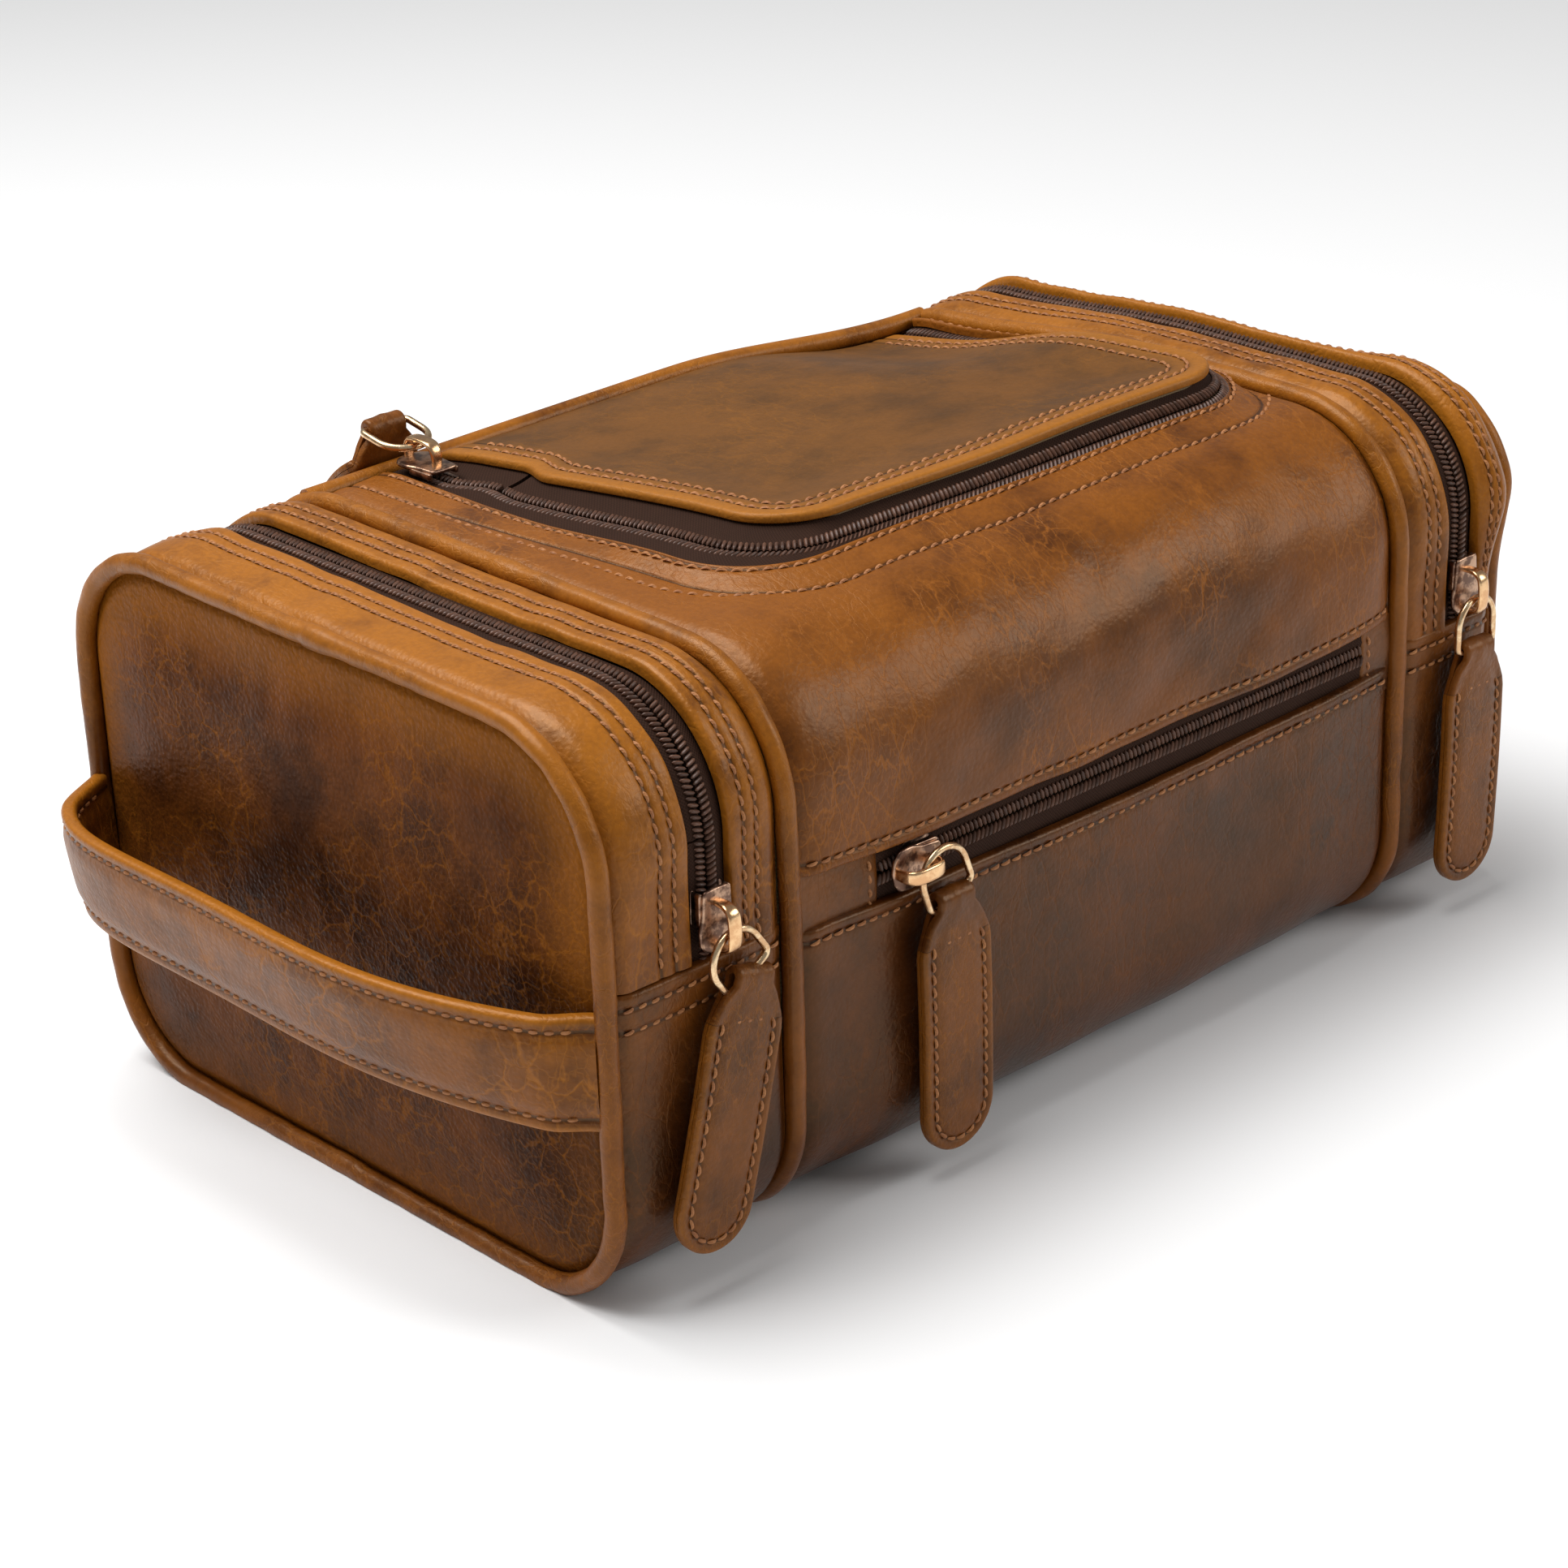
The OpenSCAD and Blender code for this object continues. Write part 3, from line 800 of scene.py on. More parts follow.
@dataclass(frozen=True)
class Leather:
    """Waxed pull-up leather: cloudy wax colour, a pebbled grain, pale cracks and sewn rows.

    Colour is dark to mid by clouds, then to light by height, which is painted top light, and at
    worn edges, whose wide rim on the end panels grows towards the top as painted top light. The
    needle holes are painted shade. The relief is small cells, less cracks and less a dip at each
    sewn row.
    """

    name: str
    dark: Colour
    mid: Colour
    light: Colour
    cloud: float = 34.0
    darkness: float = 0.5
    # Heights and share of the lightening towards the top: painted top light.
    painted_top_light: tuple[float, float] = (70.0, 122.0)
    painted_top_light_share: float = 0.8
    cracks: float = 0.5
    crack_size: float = 6.0
    grain: float = 0.06
    rows: tuple[float, ...] = ()
    hem_rows: tuple[float, ...] = ()
    rough: float = 0.36
    shine: float = 0.42
    rim: float = 0.35
    rim_width: float = 1.6
    # Heights over which the rim grows to full strength; the end panels use it for painted top
    # light.
    painted_rim_light_z: tuple[float, float] = (-1.0, 0.0)

    def sewn(
        self, pot: Pot, distance: Tint, rows: tuple[float, ...]
    ) -> tuple[Tint | float, Tint | float]:
        """Dip and needle holes of sewn rows: both fall off with the distance from the row.

        Args:
            pot: the material.
            distance: distance from the sewn edge.
            rows: the rows' distances.

        Returns:
            Depth of the dip and darkness of the holes, 0 to 1.
        """
        dip: Tint | float = 0.0
        hole: Tint | float = 0.0
        for row in rows:
            off = abs(distance - row)
            dip = dip + off.between(0.95, 0.1)
            hole = hole + off.between(0.5, 0.2)
        return dip, hole

    def made(self) -> bpy.types.Material:
        """Mixes the leather."""
        pot = Pot(self.name)
        cloud = pot.noise(self.cloud, 5.0, 3.1, 0.6)
        patch = pot.noise(self.cloud * 0.3, 4.0, 17.0, 0.62)
        speck = pot.noise(1.7, 4.0, 5.0, 0.7)
        wax = cloud * 0.62 + patch * 0.28 + speck * 0.10
        base = pot.mix(wax.between(self.darkness - 0.14, self.darkness + 0.13), self.dark, self.mid)
        height_z = pot.node("SeparateXYZ", {0: pot.places}, out="Z")
        # Lighter towards the top, broken up by the patches: painted top light.
        painted_top_light = (height_z + (patch - 0.5) * 34.0).between(*self.painted_top_light) * self.painted_top_light_share
        base = pot.mix(
            painted_top_light * wax.between(self.darkness - 0.2, self.darkness + 0.08), base, self.light
        )
        lines = pot.cells(self.crack_size, "DISTANCE_TO_EDGE", self.crack_size * 0.7, stretch=0.45)
        fine = pot.cells(
            self.crack_size * 0.4, "DISTANCE_TO_EDGE", self.crack_size * 0.35, stretch=0.6
        )
        where = pot.noise(36.0, 3.0, 41.0, 0.5).between(0.38, 0.58)
        veins = lines.between(0.055, 0.0) * where + fine.between(0.10, 0.0) * where * 0.6
        pale = pot.mix(0.75, self.mid, self.light)
        base = pot.mix(veins * self.cracks, base, pale)
        edge = pot.mark("edge")
        # Lighter along worn edges; on the end panels the rim grows stronger towards the top, which
        # is painted top light.
        worn = edge.between(self.rim_width, 0.2) * self.rim
        worn = worn * (height_z.between(*self.painted_rim_light_z) * 0.75 + 0.25)
        base = pot.mix(worn, base, self.light)
        pebble = pot.cells(0.95, "SMOOTH_F1", 0.25)
        base = pot.mix(pebble.between(0.30, 0.62) * 0.13, base, self.dark)
        relief = pot.noise(0.42, 2.0) * 0.03 - pebble * self.grain * 1.6 - veins * 0.05
        relief = relief + pot.noise(9.0, 3.0, 60.0) * 0.35
        rough = self.rough + (cloud - 0.5) * 0.22 + pebble * 0.06 + veins * 0.08
        if self.rows or self.hem_rows:
            dip, hole = self.sewn(pot, edge, self.rows)
            dip2, hole2 = self.sewn(pot, pot.mark("hem"), self.hem_rows)
            base = pot.mix((dip + dip2) * 0.30, base, self.dark)
            # Near-black line along each row, between the stitches: painted shade in the needle
            # holes.
            base = pot.mix((hole + hole2) * 0.7, base, (0.015, 0.005, 0.002))
            relief = relief - (dip + dip2) * 0.22
        return pot.finish(
            {
                "Base Color": base,
                "Roughness": rough,
                "Specular IOR Level": self.shine,
                "Specular Tint": (1.0, 0.66, 0.36, 1.0),
                "Coat Weight": self.shine * 0.2,
                "Coat Roughness": 0.22,
            },
            relief,
        )


@dataclass(frozen=True)
class Thread:
    """Twisted linen thread: slanted bands in its colour and relief."""

    name: str
    colour: Colour = (0.46, 0.19, 0.055)
    shade: Colour = (0.24, 0.08, 0.02)

    def made(self) -> bpy.types.Material:
        """Mixes the thread."""
        pot = Pot(self.name)
        twist = pot.node(
            "TexWave", {"Vector": pot.places, "Scale": 0.7, "Distortion": 1.0}, out="Fac",
            bands_direction="DIAGONAL"
        )
        tone = pot.mark("along") / 10.0 * 0.5 + pot.noise(5.0) * 0.5
        base = pot.mix(tone, self.colour, self.shade)
        return pot.finish(
            {"Base Color": pot.mix(twist * 0.3, base, self.shade), "Roughness": 0.62}, twist * 0.05
        )


@dataclass(frozen=True)
class Weave:
    """Woven tape or cloth: two crossed rows of fine waves in colour and relief."""

    name: str
    colour: Colour
    shade: Colour
    pitch: float = 0.8
    rough: float = 0.8

    def made(self) -> bpy.types.Material:
        """Mixes the cloth."""
        pot = Pot(self.name)
        rate = 2 * math.pi / self.pitch
        along = pot.node("Math", {0: pot.mark("along") * rate}, operation="SINE")
        across = pot.node("Math", {0: pot.mark("edge") * rate}, operation="SINE")
        knit = along * across * 0.5 + 0.5
        base = pot.mix(knit * 0.55 + pot.noise(6.0) * 0.35, self.shade, self.colour)
        return pot.finish(
            {"Base Color": base, "Roughness": self.rough, "Specular IOR Level": 0.1},
            knit * 0.09 + pot.noise(1.1) * 0.05,
        )


@dataclass(frozen=True)
class Nylon:
    """Zip coil: glossy moulded thread with slight differences from turn to turn."""

    name: str
    colour: Colour = (0.060, 0.0270, 0.0155)

    def made(self) -> bpy.types.Material:
        """Mixes the coil."""
        pot = Pot(self.name)
        pale = tuple(c * 2.1 for c in self.colour)
        base = pot.mix(pot.mark("along") / 10.0, self.colour, pale)
        return pot.finish(
            {
                "Base Color": base,
                "Roughness": 0.36 + pot.noise(2.0) * 0.15,
                "Specular IOR Level": 0.4,
            },
            pot.noise(0.5) * 0.02
        )


@dataclass(frozen=True)
class Metal:
    """Plated metal with worn spots: the bright colour shows where noise is high."""

    name: str
    worn: Colour
    plated: Colour
    rough: float

    def made(self) -> bpy.types.Material:
        """Mixes the metal."""
        pot = Pot(self.name)
        rub = pot.noise(2.6, 5.0, 2.0, 0.65)
        scratch = pot.node(
            "TexNoise", {"Vector": pot.places, "Scale": 1.4, "Detail": 4.0, "Distortion": 2.0}
        )
        return pot.finish(
            {
                "Base Color": pot.mix(rub.between(0.42, 0.60), self.plated, self.worn),
                "Roughness": self.rough + scratch * 0.16,
                "Metallic": 1.0,
            },
            scratch * 0.012 + rub * 0.03,
        )


# GOLD is the light tone that the upper pieces reach by painted top light, worn edges and cracks.
GOLD: Colour = (0.38, 0.130, 0.009)
TAN: Colour = (0.20, 0.058, 0.0055)
BROWN: Colour = (0.080, 0.0205, 0.0030)
# UMBER starts the darker palette of the lower and rear pieces, which is painted shade.
UMBER: Colour = (0.026, 0.0070, 0.0018)


class Finish(Enum):
    """Every finish on the bag."""

    GUSSET = Leather(
        "gusset_leather", BROWN, TAN, GOLD, cloud=26.0, darkness=0.49, rows=(3.5, 6.7),
        painted_top_light_share=0.7
    )
    FLAP = Leather("flap_leather", BROWN, TAN, GOLD, darkness=0.44, rows=(4.0, 7.6), painted_top_light_share=0.7)
    TOP = Leather(
        "top_leather", (0.056, 0.0145, 0.0025), (0.155, 0.043, 0.0045), (0.26, 0.080, 0.006),
        cloud=44.0, darkness=0.48, rows=(1.9, 9.5), hem_rows=(2.6,), cracks=1.0, crack_size=5.0,
        painted_top_light=(94.0, 128.0), painted_top_light_share=0.7
    )
    LID = Leather(
        "lid_leather", (0.060, 0.0235, 0.0045), (0.110, 0.041, 0.007), (0.36, 0.125, 0.010),
        darkness=0.5, rows=(4.6, 8.6), cracks=0.12, painted_top_light_share=0.12, rim=0.8, rim_width=11.0,
        rough=0.5, grain=0.03
    )
    # POCKET, LOWER and BACK take the darker UMBER, BROWN and TAN palette: painted shade on the
    # lower and rear pieces.
    POCKET = Leather(
        "pocket_leather", UMBER, BROWN, TAN, darkness=0.49, hem_rows=(2.8,), painted_top_light=(45.0, 95.0),
        cracks=0.25, rough=0.34
    )
    LOWER = Leather(
        "lower_gusset_leather", UMBER, BROWN, TAN, darkness=0.49, hem_rows=(3.2, 7.8),
        painted_top_light=(30.0, 80.0), cracks=0.3
    )
    BACK = Leather("back_leather", UMBER, BROWN, TAN, darkness=0.46, painted_top_light=(40.0, 110.0), cracks=0.3)
    # The end panel's wide rim is lighter along its worn edge and stronger towards the top: painted
    # top light.
    END = Leather(
        "end_leather", (0.030, 0.0085, 0.0025), (0.140, 0.040, 0.006), (0.32, 0.105, 0.008),
        cloud=40.0, darkness=0.51, painted_top_light_share=0.0, cracks=0.4, crack_size=3.4, grain=0.12, rim=0.75,
        rim_width=19.0, painted_rim_light_z=(45.0, 105.0), rough=0.34, shine=0.06
    )
    PIPING = Leather(
        "piping_leather", BROWN, TAN, GOLD, cloud=26.0, darkness=0.47, painted_top_light=(60.0, 122.0),
        painted_top_light_share=0.6, cracks=0.35, crack_size=3.0, grain=0.03, rim=0.0, rough=0.36
    )
    # The strap's upper part is lighter: painted top light.
    STRAP = Leather(
        "strap_leather", BROWN, TAN, GOLD, darkness=0.49, cloud=24.0, painted_top_light=(50.0, 80.0),
        painted_top_light_share=0.5, rows=(3.0,), rim=0.75, rim_width=2.2
    )
    PULLER = Leather(
        "puller_leather", (0.060, 0.0165, 0.0030), (0.155, 0.045, 0.0055), GOLD, darkness=0.47,
        cloud=15.0, painted_top_light_share=0.0, rows=(2.5,), rim=0.25, cracks=0.3, crack_size=3.0
    )
    BOARD = Leather("board_leather", UMBER, BROWN, TAN, darkness=0.5, painted_top_light_share=0.0)
    TAPE = Weave("zip_tape_weave", (0.046, 0.0200, 0.0115), (0.016, 0.0070, 0.0040))
    CLOTH = Weave("lining_weave", (0.27, 0.20, 0.115), (0.17, 0.12, 0.065), pitch=0.9)
    COIL = Nylon("coil_nylon")
    THREAD = Thread("linen_thread")
    BRASS = Metal("ring_metal", (0.83, 0.62, 0.38), (0.62, 0.38, 0.20), 0.16)
    BAND = Metal("band_metal", (0.86, 0.56, 0.30), (0.70, 0.40, 0.20), 0.15)
    BRONZE = Metal("slider_metal", (0.52, 0.33, 0.22), (0.15, 0.085, 0.06), 0.26)


_MIXED: dict[Finish, bpy.types.Material] = {}


def dress(
    build: Build,
    name: str,
    finish: Finish,
    body: str = "bag",
    nodes: tuple[str, ...] | None = None,
    bend: tuple | None = None,
    sharp: float = 48.0,
) -> None:
    """Makes a piece, gives it its material, hides the CAD nodes it stands for, and puts it on its
    body unless bend is given.

    Args:
        build: its closed parts.
        name: its name.
        finish: its finish.
        body: the body that it rides on.
        nodes: CAD nodes that it replaces; the node of its own name if left out.
        bend: two bodies, then start and end points in millimetres; the bodies and points are not
            used, and when bend is given the piece stays where it is on no body.
        sharp: angle in degrees past which an edge stays crisp.
    """
    obj = build.piece(name, sharp)
    if finish not in _MIXED:
        _MIXED[finish] = finish.value.made()
    obj.data.materials.append(_MIXED[finish])
    nodes = (name,) if nodes is None else nodes
    if nodes:
        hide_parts(*nodes)
    if bend:
        a, b, start, end = bend
        tuple(c * MM for c in start)
        tuple(c * MM for c in end)
        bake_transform(obj)
    else:
        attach(obj, body)


# ---- centre section -------------------------------------------------------------


def u_run(left: float, right: float, front: float, rear: float, r: float, skew: float = 0.0) -> Arr:
    """U-shaped run from the rear left to the rear right: straight legs and quarter circles.

    Args:
        left: X of the left leg.
        right: X of the right leg.
        front: forward distance of the front run.
        rear: forward distance where the legs start.
        r: corner radius.
        skew: how far the left leg leans inwards at its front.

    Returns:
        Points of X and forward distance, with the same share of points on each stretch every time.
    """
    a = np.linspace(0, math.pi / 2, 25)[1:]
    leg = np.linspace(rear, front - r, 60)
    parts = [
        pair(left, leg),
        pair(left + r - r * np.cos(a), front - r + r * np.sin(a)),
        pair(np.linspace(left + r, right - r, 91)[1:], front),
        pair(right - r + r * np.sin(a), front - r + r * np.cos(a)),
        pair(right, leg[::-1][1:]),
    ]
    run = np.concatenate(parts)
    run[:, 0] += skew * smooth((run[:, 1] + 30) / 60) * smooth(-run[:, 0] / 55)
    return run


@dataclass
class CentreSection:
    """Leather round the middle compartment, its pipings and its lining."""

    form: Form
    slot_high: float = 75.4
    slot_low: float = 64.6
    opening: tuple[float, float, float, float] = (-71.9, 85.0, 47.6, 21.0)
    rear_y: float = 61.0
    rows: tuple[float, ...] = (1.9, 9.5)
    slot_row: float = 2.6
    stitches: Build = field(default_factory=Build)

    def relief(self, x: Arr, s: Arr) -> Arr:
        """How far the top leather stands out: ripples, less a valley beside each piping."""
        at = grid(x, s, 0.0 * s)
        front = smooth((s - 40) / 25)
        dents = 0.55 * ripple(at, 46, 8) + 0.16 * ripple(at, 15, 5)
        wave = 0.35 * ripple(at, 75, 3) + front * dents
        side = self.form.panel_x - np.abs(x)
        return wave * smooth(side / 12) - valley(side) + 0.7 * smooth(side / 9) * front

    def lift(self, edge: Arr | float, s: Arr) -> Arr:
        """Rise of the leather towards the opening, which the zip pulls up at the front."""
        return 0.7 * np.exp(-edge / 5) + 2.3 * smooth(1 - edge / 11) * smooth((s + 15) / 45)

    def slot_edge(self, x: Arr, upper: bool) -> Arr:
        """Height of the pocket slot's edge: level, with a dip of a parabola at mid span."""
        bow = 1 - np.clip(np.abs(x - 4) / 84, 0, 1) ** 2
        return self.slot_high + 0.9 - 2.0 * bow if upper else self.slot_low + 0.3 - 2.0 * bow

    def opening_run(self, grow: float = 0.0) -> Arr:
        """Edge of the opening under the lid, grown outwards."""
        left, right, front, r = self.opening
        rear = self.form.section.at_depth(self.rear_y)
        return u_run(left - grow, right + grow, front + grow, rear, r + grow, 3.0)

    def top_front(self) -> None:
        """Panel round the opening and down the front: straight lines from opening to border."""
        form, skin = self.form, self.form.section
        inner = self.opening_run()
        rear, px = inner[0, 1], form.panel_x
        low = skin.at_height(self.slot_high)
        down, half = np.linspace(60, low, 13)[1:], np.linspace(-px, -50, 13)[1:]
        corner = np.concatenate([pair(-px, down), pair(half, low)])
        mirrored = corner[::-1] * (-1, 1)
        outer = np.concatenate(
            [
                pair(-px, np.linspace(rear, 60, 60)),
                corner,
                pair(np.linspace(-50, 50, 91)[1:], low),
                np.concatenate([mirrored[1:], [[px, 60]]]),
                pair(px, np.linspace(60, rear, 60)[1:]),
            ]
        )
        drop = self.slot_edge(outer[:, 0], True) - self.slot_high
        outer[:, 1] -= np.where(
            outer[:, 1] > low - 0.01, drop, drop * smooth((outer[:, 1] - 60) / (low - 60))
        )
        g = (1 - np.cos(math.pi * np.linspace(0, 1, 62))) / 2
        at = inner[:, None] + (outer - inner)[:, None] * g[None, :, None]
        x, s = at[..., 0], at[..., 1]
        edge = np.linalg.norm(at - inner[:, None], axis=-1)
        hem = (low - (self.slot_edge(x, True) - self.slot_high)) - s
        _, run = resample(inner, 1.0)
        along = np.broadcast_to(np.linspace(0, run[-1], len(inner))[:, None], edge.shape)
        out = self.relief(x, s) + self.lift(edge, s) + 0.5 * np.exp(-hem / 4)
        out = out - groove(edge, self.rows) - groove(hem, (self.slot_row,))
        top = form.on_skin(x, s, out - turned_edge(edge, TURN) - turned_edge(hem, TURN))
        under = form.on_skin(x, s, out - LEATHER)
        dress(Build().slab(top, under, edge, along, hem), "top_front_panel", Finish.TOP)
        for off in self.rows:
            row = self.opening_run(off)
            keep = (np.abs(row[:, 0]) < px - 1.4) & (row[:, 1] > rear + 2)
            row = row[keep]
            lift = self.relief(row[:, 0], row[:, 1]) + self.lift(off, row[:, 1]) - 0.18
            sew(
                self.stitches, form.on_skin(row[:, 0], row[:, 1], lift),
                form.skin_out(row[:, 0], row[:, 1])
            )
        x = np.linspace(-px + 2, px - 2, 200)
        s = low - (self.slot_edge(x, True) - self.slot_high) - self.slot_row
        sew(self.stitches, form.on_skin(x, s, self.relief(x, s) + 0.12), form.skin_out(x, s))

    def pocket_front(self) -> None:
        """Lower front panel: rows from the slot to the base, bulged by half a sine down them."""
        form, skin = self.form, self.form.section
        x = edge_lines(-form.panel_x, form.panel_x, 2.0)[:, None]
        v = (1 - np.cos(math.pi * np.linspace(0, 1, 64))) / 2
        s0 = skin.at_height(0.0) - self.slot_edge(x, False)
        s = s0 + (skin.marks[3] - s0) * v[None, :]
        hem = s - s0
        side = form.panel_x - np.abs(x) + 0 * s
        at = grid(x + 0 * s, s, 0 * s)
        out = 0.9 * smooth(side / 30) * np.sin(math.pi * v)[None, :]
        out += 0.3 * ripple(at, 40, 12) * smooth(side / 10)
        out += 0.10 * ripple(at * (1, 0.25, 1), 7, 31) * np.exp(-hem / 16) * smooth(side / 10)
        out += 0.5 * np.exp(-hem / 4) - valley(side) - groove(hem, (2.8,))
        out *= smooth((skin.marks[3] + 4 - s) / 25)
        panel = form.sheet(x, s, out - turned_edge(hem, TURN), out - LEATHER, 40.0, x, hem)
        dress(panel, "front_pocket_panel", Finish.POCKET)
        x = np.linspace(-form.panel_x + 2, form.panel_x - 2, 200)
        s = skin.at_height(0.0) - self.slot_edge(x, False) + 2.8
        sew(
            self.stitches, form.on_skin(x, s, 0.55 * np.exp(-0.7) - 0.05 + 0 * x),
            form.skin_out(x, s)
        )

    def back_and_base(self) -> None:
        """Back panel and base panel: plain strips round the section; the back panel has a soft
        ripple.
        """
        form, skin = self.form, self.form.section
        e = skin.marks[4]
        spans = {
            "back_panel": (-skin.marks[3], skin.at_depth(66.5), Slot.TOP),
            "base_panel": (skin.marks[3] + 0.1, 2 * e - skin.marks[3] - 0.1, Slot.LOWER),
        }
        for name, (s0, s1, slot) in spans.items():
            x = edge_lines(-form.panel_x, form.panel_x, 3.0)[:, None]
            s = edge_lines(s0, s1, 2.5)[None, :]
            side = form.panel_x - np.abs(x) + 0 * s
            at = grid(x, s, 0.0 * s)
            fade = smooth(side / 14) * smooth(np.minimum(s - s0, s1 - s) / 12)
            out = (0.5 * ripple(at, 55, 21) + 0.6) * fade
            out = (out - valley(side)) * (name == "back_panel")
            dress(form.sheet(x, s, out, out - 2.4, side, s), name, Finish.BACK)

    def pipings(self) -> None:
        """Rolled pipings: a ring at each side, and one straight along the lid's hinge."""
        form = self.form
        for side in Side:
            ring = piping_ring(form, side.value * form.inner_x, 5 + side.value)
            dress(ring, f"{side.word}_inner_piping", Finish.PIPING)
        low, high = box_mm("rear_piping")
        y, z, r = (low[1] + high[1]) / 2, (low[2] + high[2]) / 2, (high[2] - low[2]) / 2
        x = np.linspace(-form.inner_x, form.inner_x, 150)[:, None]
        a = np.linspace(0, 2 * math.pi, 15)[None, :-1]
        wave = 0.25 * ripple(grid(x, 0 * x, 0 * x), 60, 9)
        rings = form.slump.move(grid(x + 0 * a, y + r * np.cos(a), z + wave + r * np.sin(a)))
        dress(Build().tube(rings, along=x[:, 0]), "rear_piping", Finish.PIPING)

    def lining(self) -> None:
        """Lining, partitions and stiff base: slabs just inside the leather, softly rippled."""
        form, skin = self.form, self.form.section
        x = edge_lines(-form.panel_x + 0.1, form.panel_x - 0.1, 4.0)[:, None]
        s = np.linspace(skin.marks[3] - 16, 2 * skin.marks[4] - skin.marks[1] + 17, 120)[None, :]
        at = grid(x, s, 0.0 * s)
        out = -3.2 - 0.25 * (1 + ripple(at, 30, 14))
        dress(form.sheet(x, s, out, out - CLOTH, x, s), "main_lining", Finish.CLOTH)
        low, high = box_mm("pocket_lining")
        z = np.linspace(low[2], high[2], 50)[None, :]
        y = (low[1] + high[1]) / 2 + 0.3 * ripple(grid(x, 0.0 * z, z), 40, 2)
        front = grid(x, y - 0.3, z)
        lining = Build().slab(front, front + (0, 0.6, 0), x, z)
        dress(lining, "pocket_lining", Finish.CLOTH)
        for side in Side:
            y, z, edge = end_disc(form, 3.4, 60, 60)
            wave = 0.5 * ripple(grid(0 * y, y, z), 60, 7) * smooth(edge / 12)
            x = side.value * form.inner_x + wave
            face = form.slump.move(grid(x - 0.7, y, z))
            partition = Build().slab(face, face + (1.4, 0, 0), y, z)
            dress(partition, f"{side.word}_partition", Finish.CLOTH)
        low, high = box_mm("base_board")
        x, y = edge_lines(low[0], high[0], 8.0)[:, None], edge_lines(low[1], high[1], 8.0)[None, :]
        edge = np.minimum(high[0] - np.abs(x), high[1] - np.abs(y))
        top = grid(x, y, high[2] - turned_edge(edge, 0.9))
        board = Build().slab(top, grid(x, y, low[2] + 0 * edge), edge, x)
        dress(board, "base_board", Finish.BOARD)

    def make(self) -> None:
        """Makes the centre section."""
        self.top_front()
        self.pocket_front()
        self.back_and_base()
        self.pipings()
        self.lining()
        dress(self.stitches, "body_stitches", Finish.THREAD, nodes=())


def piping_ring(form: Form, x: float, seed: int, out: float = -0.8, r: float = 2.2) -> Build:
    """Ring of piping: a circle of slightly rippled radius, with one lapped join on top.

    Args:
        form: the bag's form.
        x: place along the bag.
        seed: which ripple.
        out: centre outside the leather's face.
        r: radius.

    Returns:
        The closed tube.
    """
    e = form.section.marks[4]
    s = np.linspace(-e, e, 441)[:-1, None]
    a = np.linspace(0, 2 * math.pi, 17)[None, :-1]
    at = grid(4 * np.cos(a) + 0 * s, s + 0 * a, 4 * np.sin(a) + 0 * s)
    join = smooth((s + 2) / 1.0) * smooth((8 - s) / 5)
    grow = r * (1 + 0.035 * ripple(at, 9, seed)) + 0.35 * join
    rings = form.on_skin(
        x + grow * np.cos(a), s + 0 * a, out + 0.2 * ripple(at, 70, seed + 20) + grow * np.sin(a)
    )
    return Build().tube(rings, along=s[:, 0], loop=True)


def end_disc(form: Form, inset: float, rows: int, columns: int) -> tuple[Arr, Arr, Arr]:
    """Rounded panel drawn in from the section: rows whose ends follow the corner circles.

    Args:
        form: the bag's form.
        inset: how far it is drawn in.
        rows: grid rows.
        columns: grid columns.

    Returns:
        y, z and the distance inside the edge, each (rows, columns).
    """
    skin = form.section
    low, high, half = inset, skin.height - inset, skin.half_w - inset
    r1, r0 = skin.top_r - inset, skin.base_r - inset
    z = low + (high - low) * (1 - np.cos(math.pi * np.linspace(0, 1, rows))) / 2
    up = np.clip(z - (high - r1), 0, r1)
    down = np.clip(low + r0 - z, 0, r0)
    wide = half - (r1 - np.sqrt(r1**2 - up**2)) - (r0 - np.sqrt(r0**2 - down**2))
    y = wide[:, None] * -np.cos(math.pi * np.linspace(0, 1, columns))[None, :]
    z = z[:, None] + 0 * y
    return y, z, np.maximum(rounded_distance(y, z, half, low, high, r1, r0), 0)


# ---- lid -------------------------------------------------------------------------


